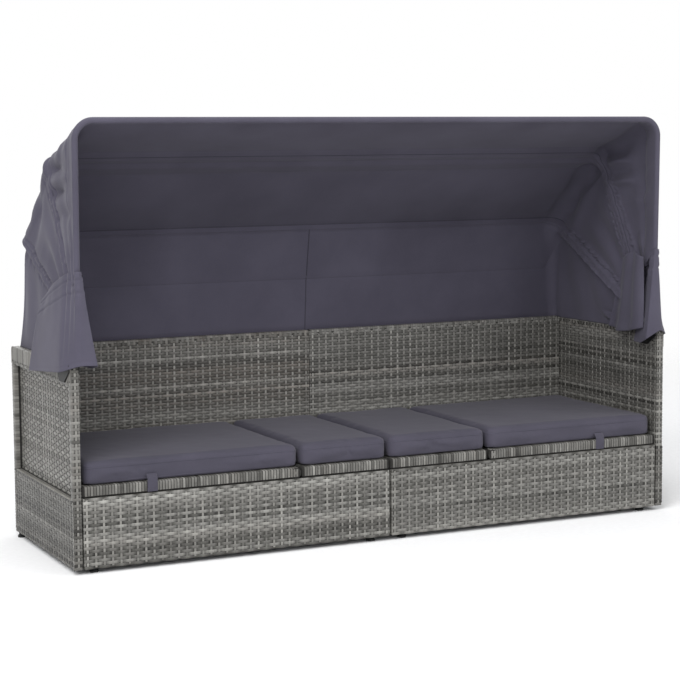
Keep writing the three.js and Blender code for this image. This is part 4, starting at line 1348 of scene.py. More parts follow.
    def crease(self, piece: bpy.types.Object) -> None:
        """Adds the cover's soft unevenness.

        Args:
            piece: The cushion.
        """
        seed = self.low.x * 31.7
        places, normals = read_vertices(piece.data, "co"), read_vertices(piece.data, "normal")
        depths = np.zeros((len(places), 1), np.float32)
        for index, (x, y, z) in enumerate(places.tolist()):
            if (z - self.low.z) / (self.high.z - self.low.z) >= 0.12:
                broad = noise.noise(Vector((x * 6 + seed, y * 6, z * 8)))
                fine = noise.noise(Vector((x * 26, y * 26 + seed, z * 30)))
                depths[index] = min(0.0, 0.0011 * broad + 0.0005 * fine - 0.0008)
        piece.data.vertices.foreach_set("co", (places + normals * depths).ravel())
        piece.data.update()

    def seam(self, piece: bpy.types.Object) -> bpy.types.Object:
        """Adds the sewn seam that joins the top to the boxed side.

        Args:
            piece: The cushion.

        Returns:
            The seam.
        """
        tree = BVHTree.FromObject(piece, bpy.context.evaluated_depsgraph_get())
        middle = (self.low + self.high) / 2
        height = self.high.z - self.seam_drop
        half = (self.high - self.low) / 2
        rings, away = [], 0.03
        for i in range(self.seam_rings):
            turn = 2 * math.pi * i / self.seam_rings
            c, s = math.cos(turn), math.sin(turn)
            reach = max(abs(c), abs(s))
            aim = Vector((
                middle.x + c / reach * (half.x + away), middle.y + s / reach * (half.y + away), height,
            ))
            target = Vector((
                min(max(aim.x, self.low.x + away), self.high.x - away),
                min(max(aim.y, self.low.y + away), self.high.y - away), height - 0.012,
            ))
            hit, normal, _, _ = tree.ray_cast(aim, (target - aim).normalized())
            if hit is not None:
                rings.append((hit, normal))
        points, faces = [], []
        total, sides = len(rings), self.seam_sides
        for i, (place, normal) in enumerate(rings):
            heading = (rings[(i + 1) % total][0] - rings[i - 1][0]).normalized()
            up = heading.cross(normal).normalized()
            for j in range(sides):
                angle = 2 * math.pi * j / sides
                out = normal * (0.0011 * math.cos(angle) - 0.0002)
                points.append(place + out + up * 0.0013 * math.sin(angle))
        for i in range(total):
            for j in range(sides):
                a, b = i * sides + j, i * sides + (j + 1) % sides
                c, d = ((i + 1) % total) * sides + (j + 1) % sides, ((i + 1) % total) * sides + j
                faces.append((a, b, c, d))
        name = f"{self.name}_seam"
        return add_object(name, smooth_mesh(name, points, faces), (Finish.SEAM,))

    def build(self) -> bpy.types.Object:
        """Builds the cushion and its seam.

        Returns:
            The cushion.
        """
        piece = self.form()
        self.puff(piece)
        self.crease(piece)
        seam = self.seam(piece)
        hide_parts(self.node)
        for part in (piece, seam):
            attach(part, self.body)
        if self.body != "daybed_body":
            anchor = self.low if self.low.x < 0 else self.high
            for part in (piece, seam):
                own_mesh(part)
                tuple(anchor)
        return piece


# Canopy


@dataclass(frozen=True)
class Stretch:
    """A column of cloth along a bow: on a leg, in a bend or on the bar."""

    side: int
    leg: float
    bend: float
    bar: float

    @property
    def on_leg(self) -> float:
        """How much the column belongs to a leg."""
        return 1.0 if self.leg < 1 else 1 - self.bend


def stretches(leg: int, bend: int, bar: int, below: int = 0) -> list[Stretch]:
    """Lists the columns of a cloth that follows a bow from foot to foot.

    Args:
        leg: Columns on a leg.
        bend: Columns in a bend.
        bar: Columns on half the bar.
        below: Columns below the place where the roof's cloth starts.

    Returns:
        The columns, from the left foot to the right one.
    """
    half = [(i / leg, 0.0, 0.0) for i in range(-below, leg)]
    half += [(1.0, i / bend, 0.0) for i in range(bend)]
    half += [(1.0, 1.0, i / bar) for i in range(bar)]
    left = [Stretch(-1, *place) for place in half]
    middle = [Stretch(-1, 1.0, 1.0, 1.0)]
    return left + middle + [Stretch(1, *place) for place in reversed(half)]


LIFT = 0.0084
SEAM_GAP = 0.0006
SEAM_TURN = 0.3
CURTAIN_TURN = math.pi / 3
CASING = 0.022


@dataclass(frozen=True)
class Bow:
    """A canopy bow: a tube bent to a U that turns about the pivot bolts, and how its cloth fits."""

    name: str
    eye_half: float
    length: float
    angle: float
    splay: float
    start: float
    ease: float
    corner: float = 0.052

    @property
    def radial(self) -> Vector:
        """The direction from the pivot to the bar."""
        turn = math.radians(self.angle)
        return Vector((0, math.cos(turn), math.sin(turn)))

    @property
    def forward(self) -> Vector:
        """The direction square to the bow's plane, towards the front."""
        turn = math.radians(self.angle)
        return Vector((0, -math.sin(turn), math.cos(turn)))

    def distance(self, column: Stretch) -> float:
        """Gives a column's distance from the pivot, on a leg."""
        return self.start + (self.length - self.corner - self.start) * min(1.0, column.leg)

    def station(self, column: Stretch) -> tuple[Vector, Vector]:
        """Gives a place on the bow's axis.

        Args:
            column: The column of the cloth.

        Returns:
            The place, and the direction that faces out of the U there.
        """
        foot = Vector((self.eye_half, 0.0))
        top = Vector((self.eye_half + self.splay, self.length))
        up = (top - foot).normalized()
        turn = math.acos(max(-1.0, min(1.0, up.dot(Vector((-1, 0))))))
        bend_start = top - up * (self.corner * math.tan(turn / 2))
        side_way = (Vector((-1, 0)) - up * up.dot(Vector((-1, 0)))).normalized()
        if column.leg < 1:
            low = self.start / (bend_start - foot).length
            place = foot.lerp(bend_start, low + (1 - low) * column.leg)
            outwards = -side_way
        else:
            angle = turn * column.bend
            place = bend_start + up * self.corner * math.sin(angle)
            place += side_way * self.corner * (1 - math.cos(angle))
            heading = up * math.cos(angle) + side_way * math.sin(angle)
            outwards = Vector((heading.y, -heading.x))
            if column.bend >= 1:
                place.x *= 1 - column.bar
        base = Vector((column.side * place.x, SIZE.pivot_y, SIZE.pivot_z)) + self.radial * place.y
        return base, Vector((column.side * outwards.x, 0, 0)) + self.radial * outwards.y

    def looseness(self, column: Stretch) -> float:
        """Gives how much looser the cloth is at a bend than on the bar."""
        return self.ease * math.sin(math.pi * column.bend)

    def around(self, column: Stretch, turn: float, lift: float = LIFT) -> Vector:
        """Gives a place on the cloth round the bow.

        Args:
            column: The column of the cloth.
            turn: The angle from straight out towards the front.
            lift: The distance from the tube's axis.

        Returns:
            The place.
        """
        place, outwards = self.station(column)
        out = lift + self.looseness(column)
        return place + outwards * out * math.cos(turn) + self.forward * lift * math.sin(turn)

    def contact(self, column: Stretch, run: Vector) -> float:
        """Gives the turn at which a straight run of cloth leaves or meets the bow."""
        outwards = self.station(column)[1]
        return math.atan(-run.dot(outwards) / run.dot(self.forward))


FRONT_BOW = Bow("front", 0.947, 0.630, 91.1, 0.0, 0.215, 0.0)
MID_BOW = Bow("mid", 0.9341, 0.593, 60.9, 0.0, 0.130, 0.017)
REAR_BOW = Bow("rear", 0.9212, 0.625, 27.8, 0.012, 0.118, 0.008)


def gauss(value: float, centre: float, width: float) -> float:
    """Gives a bell curve's height at a value."""
    return math.exp(-((value - centre) / width) ** 2)


@dataclass(frozen=True)
class Fold:
    """A ridge or a hollow that runs across the cloth: how deep, where its middle is and how wide it is."""

    depth: float
    centre: float
    width: float

    def at(self, value: float) -> float:
        """Gives its depth at a value."""
        return self.depth * gauss(value, self.centre, self.width)


def smooth(value: float) -> float:
    """Rises smoothly from 0 at 0 to 1 at 1."""
    value = max(0.0, min(1.0, value))
    return value * value * (3 - 2 * value)


def crumple(place: Vector, seed: float, scale: tuple[float, float, float]) -> float:
    """Gives a ridged noise that stands for creases."""
    spot = Vector((place.x * scale[0] + seed, place.y * scale[1], place.z * scale[2]))
    return 2 * abs(noise.noise(spot)) ** 0.7 - 0.8 + 0.5 * noise.noise(spot * 2.3)


def pucker(along: float, across: float, seed: float) -> float:
    """Gives the depth of the small dimples that a gathered seam pulls in."""
    wave = noise.noise(Vector((along * 78 + across * 40, across * 30, seed)))
    return max(0.0, min(1.0, 1.9 * wave + 0.35))


def lay_grid(
    rows: int, columns: int, place: Callable[[float, float], Vector], turned: bool = False,
) -> list[list[Vector]]:
    """Lays out places row by row.

    Args:
        rows: The steps down.
        columns: The steps across.
        place: Gives a place from its shares down and across.
        turned: Whether each row runs the other way, so that its sheet faces out.

    Returns:
        The places.
    """
    grid = [[place(row / rows, column / columns) for column in range(columns + 1)] for row in range(rows + 1)]
    return [line[::-1] for line in grid] if turned else grid


class ClothSheet:
    """A sheet of cloth over a grid of places."""

    def __init__(
        self, name: str, places: Sequence[Sequence[Vector]], thickness: float = 0.0011,
    ) -> None:
        """Keeps the grid of places.

        Args:
            name: The sheet's name.
            places: Its places, row by row.
            thickness: How thick the cloth is.
        """
        self.name = name
        self.grid = np.array([[tuple(p) for p in row] for row in places])
        self.thickness = thickness

    def normals(self) -> np.ndarray:
        """Works out the direction square to the sheet at each place."""
        across = np.gradient(self.grid, axis=1)
        along = np.gradient(self.grid, axis=0)
        normal = np.cross(across, along)
        return normal / np.maximum(np.linalg.norm(normal, axis=2, keepdims=True), 1e-12)

    def cut(self) -> tuple[tuple[float, float], float]:
        """Works out the size of the flat cut: the longest way round and across, and the area."""
        rows = np.linalg.norm(np.diff(self.grid, axis=1), axis=2).sum(axis=1)
        columns = np.linalg.norm(np.diff(self.grid, axis=0), axis=2).sum(axis=0)
        rising = self.grid[1:, 1:] - self.grid[:-1, :-1]
        falling = self.grid[1:, :-1] - self.grid[:-1, 1:]
        area = float(np.linalg.norm(np.cross(rising, falling), axis=2).sum() / 2)
        size = (round(float(rows.max()), 3), round(float(columns.max()), 3))
        return size, min(area, size[0] * size[1])

    def declare(
        self,
    ) -> None:
        flat, area = self.cut()

    def build(self, finish: Finish, slot: str = "canopy_cloth") -> bpy.types.Object:
        """Builds the sheet with its thickness and its edges.

        Args:
            finish: The cloth's finish.
            slot: Not used.

        Returns:
            The new piece.
        """
        rows, columns = self.grid.shape[:2]
        normal = self.normals()
        top = self.grid + normal * self.thickness / 2
        low = self.grid - normal * self.thickness / 2
        count = rows * columns
        index = np.arange(count).reshape(rows, columns)
        quads = np.stack((index[:-1, :-1], index[:-1, 1:], index[1:, 1:], index[1:, :-1]), axis=-1)
        quads = quads.reshape(-1, 4)
        faces = [quads, quads[:, ::-1] + count]
        ring = np.concatenate((index[0, :], index[1:, -1], index[-1, -2::-1], index[-2::-1, 0]))
        faces.append(np.stack((ring[:-1], ring[:-1] + count, ring[1:] + count, ring[1:]), axis=-1))
        points = np.concatenate((top.reshape(-1, 3), low.reshape(-1, 3)))
        mesh = smooth_mesh(self.name, points.tolist(), np.concatenate(faces).tolist())
        piece = add_object(self.name, mesh, (finish,))
        return piece


@dataclass(frozen=True)
class RoofPanel:
    """A panel of the roof with its side gussets, between two bows."""

    near: Bow
    far: Bow
    seed: float
    hemmed: bool
    top_sag: float = 0.008
    front_ridge: Fold = Fold(-0.0060, 0.0, 0.035)
    front_wedge: Fold = Fold(0.022, -0.085, 0.038)
    front_swell: Fold = Fold(0.0030, -0.17, 0.05)
    front_hollow: Fold = Fold(0.006, -0.27, 0.05)
    front_stripe: float = 0.0042
    bend_pocket: Fold = Fold(0.030, 0.095, 0.040)
    rear_pocket: Fold = Fold(0.014, 0.10, 0.07)
    rear_stripe: float = 0.0055

    def sink(self, column: Stretch, share: float, place: Vector, length: float) -> float:
        """Gives how far the cloth hangs in from the straight line between its bows.

        Args:
            column: The column of the cloth.
            share: The share from the near bow to the far one.
            place: The place on the straight line.
            length: The distance between the bows there.

        Returns:
            The distance inwards.
        """
        arch = max(0.0, math.sin(math.pi * share))
        folded, leg = column.on_leg, min(1.0, column.leg)
        sag = self.top_sag * (1 - folded)
        hollow = 0.0
        if self.hemmed:
            folds = self.front_folds(column, share)
            hollow = self.pocket(column, share)
        else:
            folds = self.rear_folds(column, share)
        creases = crumple(place, self.seed, (3.0, 9.0, 5.0)) * (0.0007 + 0.0022 * folded)
        near_bend = gauss(column.bend + column.bar * 9, 0.6, 0.9)
        corner = 0.0024 * near_bend * math.sin(16 * share + 7 * column.bend)
        depth = arch * sag + arch ** 0.6 * (folds * folded + hollow + creases + corner)
        for bow, away in ((self.near, share * length), (self.far, (1 - share) * length)):
            seam = self.hem_width(column) if bow is FRONT_BOW else CASING
            depth += gauss(away, seam + 0.002, 0.0040) * (0.0004 + 0.0034 * folded) * smooth(arch * 6)
            depth -= gauss(away, seam - 0.006, 0.0045) * 0.0014 * folded * smooth(arch * 6)
            if bow is not FRONT_BOW:
                fade = folded * smooth((0.93 - leg) * 8 + 0.25)
                dimple = pucker(bow.distance(column), away, self.seed + column.side)
                gathered = gauss(away, seam - 0.002, 0.0080) * (0.0003 + 0.0085 * fade)
                depth += gathered * dimple * smooth(arch * 8)
        return depth

    def hem_width(self, column: Stretch) -> float:
        """Gives the width of the hem's casing on the front bow."""
        return 0.028 + 0.030 * column.on_leg

    def front_folds(self, column: Stretch, share: float) -> float:
        """Gives the depth of the folds in a front gusset."""
        height = min(1.0, column.leg) + 0.13 * column.bend
        line = height - 0.74 - 0.22 * share
        ridge = self.front_ridge.at(line) * smooth(share * 2)
        wedge = self.front_wedge.at(line) * smooth((share - 0.40) * 2.6)
        lobe = wedge - self.front_swell.at(line) + self.front_hollow.at(line)
        low = smooth((0.50 - height) * 3.2)
        turn = 2 * math.pi * (2.6 * share + 0.10 * math.sin(6 * height + self.seed))
        return 0.002 + ridge + lobe + self.front_stripe * low * (1 - math.cos(turn))

    def pocket(self, column: Stretch, share: float) -> float:
        """Gives the depth of the hollow beside the mid bow's bend."""
        line = min(1.0, column.leg) + 0.16 * column.bend - 0.74 - 0.22 * share
        return self.bend_pocket.at(line) * smooth((share - 0.40) * 2.2) * (1 - column.bar)

    def rear_folds(self, column: Stretch, share: float) -> float:
        """Gives the depth of the folds in a rear gusset."""
        height = min(1.0, column.leg) + 0.13 * column.bend
        line = height - 0.80 - 0.16 * (1 - share)
        pocket = self.rear_pocket.at(line) * smooth(share * 2.0)
        turn = 2 * math.pi * (2.2 * share + 0.14 * math.sin(5 * height + self.seed))
        return 0.001 + pocket + self.rear_stripe * (1 - math.cos(turn)) * smooth((0.98 - height) * 3.5)

    def place(self, column: Stretch, share: float) -> Vector:
        """Gives a place on the cloth.

        Args:
            column: The column of the cloth.
            share: The share from the near bow to the far one.

        Returns:
            The place.
        """
        near, far = self.near, self.far
        run = far.around(column, 0.0) - near.around(column, 0.0)
        tangent = near.contact(column, run)
        leave = tangent if self.hemmed else min(tangent, -SEAM_TURN)
        meet = max(far.contact(column, run), SEAM_TURN)
        place = near.around(column, leave).lerp(far.around(column, meet), share)
        outwards = near.station(column)[1]
        return place - outwards * self.sink(column, share, place, run.length)

    def hem(self, column: Stretch, share: float) -> Vector:
        """Gives a place on the casing that goes under and round the near bow.

        Args:
            column: The column of the cloth.
            share: 0 at its seam on the inside, 1 where it leaves the bow.

        Returns:
            The place.
        """
        near, far = self.near, self.far
        run = far.around(column, 0.0) - near.around(column, 0.0)
        leave = near.contact(column, run)
        outwards = near.station(column)[1]
        under = math.pi * 0.93
        if share < 0.45:
            back = self.place(column, (self.hem_width(column) + 0.004) / run.length) - outwards * 0.0022
            return back.lerp(near.around(column, under), smooth(share / 0.45) * 0.5 + share / 0.9)
        turn = under + (leave - under) * (share - 0.45) / 0.55
        return near.around(column, turn, LIFT + 0.0012 * math.sin(math.pi * (share - 0.45) / 0.55))

    def rows(self, columns: Sequence[Stretch], count: int) -> list[list[Vector]]:
        """Lays out the panel row by row, from its front edge to its rear seam.

        Args:
            columns: The columns of the cloth.
            count: The rows between the bows.

        Returns:
            The places.
        """
        grid = []
        if self.hemmed:
            grid = [[self.hem(column, row / 16) for column in columns] for row in range(16)]
        else:
            gap = self.near.forward * SEAM_GAP
            grid.append([self.near.around(column, 0.0) - gap for column in columns])
            grid.append([self.near.around(column, -SEAM_TURN / 2) for column in columns])
        for row in range(count + 1):
            share = row / count
            share -= 0.09 * math.sin(2 * math.pi * share)
            grid.append([self.place(column, share) for column in columns])
        grid.append([self.far.around(column, SEAM_TURN / 2) for column in columns])
        grid.append([self.far.around(column, 0.0) + self.far.forward * SEAM_GAP for column in columns])
        return grid


class Route:
    """A smooth route through a few points."""

    def __init__(self, points: Sequence[Vector]) -> None:
        """Keeps the points, with the first and the last doubled."""
        self.points = [points[0], *points, points[-1]]

    def at(self, share: float) -> Vector:
        """Gives the place at a share of the route.

        Args:
            share: From 0 at the first point to 1 at the last.

        Returns:
            The place.
        """
        spans = len(self.points) - 3
        position = min(share * spans, spans - 1e-9)
        index = int(position)
        t = position - index
        a, b, c, d = self.points[index:index + 4]
        tension = 0.2
        m1, m2 = (c - a) * tension, (d - b) * tension
        return (b * (2 * t ** 3 - 3 * t ** 2 + 1) + m1 * (t ** 3 - 2 * t ** 2 + t)
                + c * (-2 * t ** 3 + 3 * t ** 2) + m2 * (t ** 3 - t ** 2))


@dataclass
class Canopy:
    """The cloth on the three bows: two roof panels, the curtain, the linings and the skirts."""

    front: RoofPanel = RoofPanel(FRONT_BOW, MID_BOW, 1.7, True)
    middle: RoofPanel = RoofPanel(MID_BOW, REAR_BOW, 5.3, False)
    roof_counts: tuple[int, int, int] = (110, 16, 70)
    curtain_counts: tuple[int, int, int] = (90, 14, 110)
    rows: int = 44
    seam_width: float = 0.0026
    thin: float = 0.0009
    skirt_top: float = 0.836
    skirt_hem: float = 0.580
    skirt_clear: float = 0.014
    skirt_flare: float = 0.025
    skirt_back: float = 0.319
    skirt_back_drop: float = 0.044

    def __post_init__(self) -> None:
        """Lists the columns of the roof, the linings and the curtain."""
        self.columns = stretches(*self.roof_counts)
        self.lining_columns = stretches(*self.roof_counts, below=16)
        self.curtain_columns = stretches(*self.curtain_counts)

    def rim(self, column: Stretch) -> Vector:
        """Gives a place on the curtain's lower edge: over the arms, then down behind the backs."""
        half, corner = SIZE.arm_inner, SIZE.rim_corner
        start_y, end_y = SIZE.front + SIZE.rim_start, SIZE.back + SIZE.rim_clear
        straight = end_y - corner
        angle = column.bend * math.pi / 2
        x = (half - corner + corner * math.cos(angle)) - (half - corner) * column.bar
        y = straight + corner * math.sin(angle)
        if column.leg < 1:
            y = start_y + (straight - start_y) * column.leg
        drop = max(0.0, 2 * column.bend - 1)
        return Vector((column.side * x, y, SIZE.top - SIZE.rim_sink - SIZE.rim_drop * drop))

    def curtain_place(self, column: Stretch, share: float) -> Vector:
        """Gives a place on the curtain.

        Args:
            column: The column of the cloth.
            share: 0 where it leaves the rear bow, 1 at its lower edge.

        Returns:
            The place.
        """
        leg, bend, bar = self.curtain_counts
        passed = leg * min(1.0, column.leg) + bend * column.bend + bar * column.bar
        number = 0.5 + column.side * (0.5 - passed / (2 * sum(self.curtain_counts)))
        top = REAR_BOW.around(column, -CURTAIN_TURN)
        outwards = REAR_BOW.station(column)[1]
        inward = -Vector((outwards.x, outwards.y, 0)).normalized()
        wave = (1 - math.cos(2 * math.pi * 13 * number)) / 2
        wave = wave * 0.5 + 0.5 * (0.5 + noise.noise(Vector((number * 20, share * 1.2, 3.1))))
        swell = math.sin(math.pi * share / 2) * (1 - share / 2)
        place = top.lerp(self.rim(column), share)
        arch = max(0.0, math.sin(math.pi * share))
        creases = crumple(place, 4.2, (5.0, 7.0, 1.6)) * (0.0007 + 0.0010 * column.on_leg) * arch
        side = column.on_leg * arch * 0.0034 * (1 - math.cos(2 * math.pi * (3.1 * column.leg + 0.5 * share)))
        slit = 0.90 - 0.30 * column.leg
        tuck = 0.016 * gauss(share, slit, 0.045) - 0.005 * gauss(share, slit - 0.11, 0.05)
        tuck *= column.on_leg * smooth((0.42 - column.leg) * 5)
        dimple = pucker(REAR_BOW.distance(column), share * 0.2, 9.0 + column.side)
        gathers = column.on_leg * 0.004 * dimple * gauss(share, 0.05, 0.035)
        return place + inward * (0.006 * wave * swell + creases + side + tuck + gathers)

    def curtain(self) -> list[list[Vector]]:
        """Lays out the curtain that hangs from the rear bow.

        Returns:
            The places, row by row.
        """
        rows, wrap = 46, 5
        columns = self.curtain_columns
        gap = REAR_BOW.forward * SEAM_GAP
        grid = [[REAR_BOW.around(column, 0.0) - gap for column in columns]]
        for row in range(1, wrap + 1):
            grid.append([REAR_BOW.around(column, -CURTAIN_TURN * row / wrap) for column in columns])
        for row in range(1, rows + 1):
            grid.append([self.curtain_place(column, row / rows) for column in columns])
        return grid

    def lining(self, bow: Bow) -> list[list[Vector]]:
        """Lays out the strip of cloth that covers the mid or the rear bow on the inside.

        Args:
            bow: The bow.

        Returns:
            The places, row by row.
        """
        rear, crest = bow is REAR_BOW, 0.004
        before, rows = (self.middle if rear else self.front), 48
        grid = []
        for row in range(rows + 1):
            t = 2 * row / rows - 1
            line = []
            for column in self.lining_columns:
                _, outwards = bow.station(column)
                wide = 1 - column.on_leg
                ahead = CASING + (-0.005 if rear else 0.053) * wide
                behind = CASING + (0.150 if rear else 0.053) * wide
                reach = min(ahead if t < 0 else behind, 0.28 * bow.distance(column))
                away = abs(t) * reach
                span = (before.far.around(column, 0.0) - before.near.around(column, 0.0)).length
                if t < 0:
                    place = before.place(column, max(0.0, 1 - away / span))
                elif rear:
                    drop = (REAR_BOW.around(column, -CURTAIN_TURN) - self.rim(column)).length
                    place = self.curtain_place(column, away / drop)
                else:
                    span = (REAR_BOW.around(column, 0.0) - MID_BOW.around(column, 0.0)).length
                    place = self.middle.place(column, min(1.0, away / span))
                bulge = 2 * LIFT + bow.looseness(column)
                fall = 1 - smooth((abs(t) - 0.16) / 0.84)
                if rear and wide > 0:
                    spot = away if t > 0 else -away
                    peak = (spot + ahead) / (ahead - crest)
                    if spot >= -crest:
                        peak = 1 - (spot + crest) / (behind + crest)
                    fall = 1.1 * wide * peak + (1 - wide) * fall
                bulge *= fall
                ruche = column.on_leg * 0.0022 * pucker(bow.distance(column), away, 2.0)
                tuck = 0.0016 * wide * smooth(((t if rear else abs(t)) - 0.88) / 0.12)
                line.append(place - outwards * (bulge - tuck - ruche * (1 - abs(t))))
            grid.append(line)
        return grid

    def sleeve(self, bow: Bow) -> list[list[Vector]]:
        """Lays out the gathered strip over the mid or rear bow's legs, on the outside.

        Args:
            bow: The bow.

        Returns:
            The places, row by row.
        """
        reach = 0.06
        columns = [column for column in self.columns if column.bar < reach]
        grid, rows, wrap = [], 12, 1.25
        for row in range(rows + 1):
            t = 2 * row / rows - 1
            line = []
            for column in columns:
                _, outwards = bow.station(column)
                fade = 1 - column.bar / reach
                lift = LIFT + 0.0008 + 0.0022 * fade
                place = bow.around(column, -wrap * t, lift)
                ruche = 0.0015 * pucker(bow.distance(column), t * 0.02, 4.4) * column.on_leg
                line.append(place - outwards * (ruche - 0.0012 * abs(t) ** 4 * fade))
            grid.append(line)
        return grid

    def skirt(self, side: int) -> list[list[Vector]]:
        """Lays out the skirt over the bow legs and the front of an arm.

        Args:
            side: -1 for the left skirt and 1 for the right one.

        Returns:
            The places, row by row.
        """
        columns, rows = 120, 84
        bow_y = SIZE.pivot_y + FRONT_BOW.length * FRONT_BOW.radial.y
        front_plane, outer_plane = SIZE.front - self.skirt_clear, SIZE.arm_outer + self.skirt_flare
        half, top_z, hem_z = FRONT_BOW.eye_half, self.skirt_top, self.skirt_hem
        droop = 0.012 if side < 0 else 0.040
        hem_line = Route([
            Vector((SIZE.arm_outer - 0.060, SIZE.front + 0.078, hem_z - droop)),
            Vector((SIZE.arm_outer - 0.072, SIZE.front + 0.026, hem_z - droop)),
            Vector((SIZE.arm_outer - 0.074, front_plane + 0.003, hem_z - 0.8 * droop + 0.0076)),
            Vector((SIZE.arm_outer - 0.022, front_plane, hem_z)),
            Vector((outer_plane, front_plane + 0.045, hem_z - 0.018)),
            Vector((outer_plane, SIZE.front + self.skirt_back, hem_z - self.skirt_back_drop)),
        ])
        clear = LIFT + 0.0006
        front = bow_y - clear
        top_line = Route([
            Vector((half - clear - 0.0008, bow_y + 0.012, top_z - 0.004)),
            Vector((half - clear - 0.0004, bow_y, top_z - 0.002)),
            Vector((half - clear, front + 0.005, top_z)),
            Vector((half, front, top_z)), Vector((half + clear, front + clear, top_z)),
            Vector((half + clear, front + 0.110, top_z - 0.010)),
            Vector((half + clear + 0.003, front + 0.210, top_z - 0.050)),
            Vector((half + clear + 0.003, front + 0.290, top_z - 0.090)),
        ])
        foot = Stretch(1, 0.0, 0.0, 0.0)
        run = (MID_BOW.around(foot, 0.0) - FRONT_BOW.around(foot, 0.0)).length

        def place_at(down: float, across: float) -> Vector:
            """Gives a place on the skirt from the shares down and across it."""
            high = top_line.at(across * 0.414 if across < 0.28 else 0.116 + (across - 0.28) * 1.2277)
            if high.y > bow_y and across > 0.5:
                gusset = self.front.place(foot, min(1.0, (high.y - bow_y) / run))
                loose = smooth((high.y - bow_y - 0.070) / 0.120)
                high.x += (min(high.x, gusset.x + 0.0012) - high.x) * (1 - loose)
            low = hem_line.at(across)
            place = high.lerp(low, down ** (1.2 - 0.6 * across ** 4))
            place.z = high.z + (low.z - high.z) * down
            outer = smooth((across - 0.35) * 3)
            wave = (1 - math.cos(2 * math.pi * 2.6 * across + 0.8 * down)) / 2
            fine = noise.noise(Vector((across * 26, down * 4, side * 2.0)))
            pull = outer * 0.006 * wave * down * (1 - down / 2) + 0.0020 * fine * gauss(down, 0.14, 0.12)
            gather = 0.0018 * (gauss(down, 0.085, 0.012) + gauss(down, 0.225, 0.014))
            gather -= 0.0007 * (gauss(down, 0.045, 0.02) + gauss(down, 0.185, 0.02))
            gather += 0.0022 * max(0.0, fine) * (gauss(down, 0.26, 0.05) + gauss(down, 0.12, 0.03))
            hem = 0.0007 * gauss(down, 0.955, 0.008)
            shift = Vector((-pull - gather - hem, gather * 0.8 + hem, 0))
            crease = crumple(place, side * 3.3, (4, 8, 3)) * 0.0012 * outer
            place = place + shift + Vector((1, -0.3, 0)) * crease
            return Vector((side * place.x, place.y, place.z))

        return lay_grid(rows, columns, place_at, side > 0)

    def foot_sleeve(self, side: int) -> list[list[Vector]]:
        """Lays out the cloth tube on the lower part of a front bow leg.

        Args:
            side: -1 for the left leg and 1 for the right one.

        Returns:
            The places, row by row.
        """
        grid, rows, around = [], 30, 20
        for row in range(rows + 1):
            leg = -0.40 + 0.44 * row / rows
            column = Stretch(side, leg, 0.0, 0.0)
            line = []
            for number in range(around + 1):
                turn = math.pi * (0.06 + 1.88 * number / around)
                ruche = 0.0010 * noise.noise(Vector((leg * 30, turn, side)))
                line.append(FRONT_BOW.around(column, turn, LIFT - 0.0006 + ruche))
            grid.append(line)
        return grid

    def flap(self, side: int) -> list[list[Vector]]:
        """Lays out the loose inner end of the side cloth, which hangs inside an arm.

        Args:
            side: -1 for the left flap and 1 for the right one.

        Returns:
            The places, row by row.
        """
        inner = REAR_BOW.eye_half - (0.0145 if side > 0 else 0.0120)
        late = 0.0 if side > 0 else 0.055
        top_line = Route([
            Vector((inner, SIZE.pivot_y + 0.004 + late, SIZE.pivot_z + 0.200)),
            Vector((inner - 0.002, SIZE.pivot_y + 0.055 + late, SIZE.pivot_z + 0.215)),
            Vector((inner + 0.001, SIZE.pivot_y + 0.118, SIZE.pivot_z + 0.190)),
        ])
        low_line = Route([
            Vector((inner + 0.002, SIZE.pivot_y - 0.004 + late * 0.7, SIZE.top + 0.010)),
            Vector((inner - 0.012, SIZE.pivot_y + 0.060 + late, SIZE.top - 0.004)),
            Vector((inner + 0.012, SIZE.pivot_y + 0.150, SIZE.top - 0.012)),
            Vector((inner + 0.022, SIZE.pivot_y + 0.215, SIZE.top - 0.003)),
        ])

        def place_at(down: float, across: float) -> Vector:
            """Gives a place on the flap from the shares down and across it."""
            place = top_line.at(across).lerp(low_line.at(across), down)
            fold = math.cos(2 * math.pi * (2.1 * across + 0.25 * down)) * (0.0035 + 0.004 * down)
            curl = 0.010 * smooth((down - 0.82) / 0.18) * gauss(across, 0.45, 0.3)
            crease = crumple(place, 7.7 * side, (6, 12, 5)) * 0.0012
            return Vector((side * (place.x + fold - curl + crease), place.y, place.z))

        return lay_grid(self.rows, self.rows, place_at, side > 0)

    def ribbon(self, name: str, spots: Sequence[Vector], across: Sequence[Vector]) -> bpy.types.Object:
        """Builds the narrow line of a sewn seam, drawn dark as painted shade.

        Args:
            name: The piece's name.
            spots: The places along it.
            across: The way its width runs at each place.

        Returns:
            The seam.
        """
        grid = [
            [spot + way * self.seam_width * share for spot, way in zip(spots, across)]
            for share in (-0.5, -0.2, 0.2, 0.5)
        ]
        return ClothSheet(name, grid, 0.0007).build(Finish.STITCH)

    def add(
        self, sheet: ClothSheet, held: str, rests_on: Sequence[str], details: Sequence[bpy.types.Object] = (),
    ) -> bpy.types.Object:
        """Builds a sheet of the canopy's cloth.

        Args:
            sheet: The sheet.
            held: Not used.
            rests_on: Not used.
            details: Not used.

        Returns:
            The new piece.
        """
        piece = sheet.build(Finish.CANOPY)
        sheet.declare()
        return piece

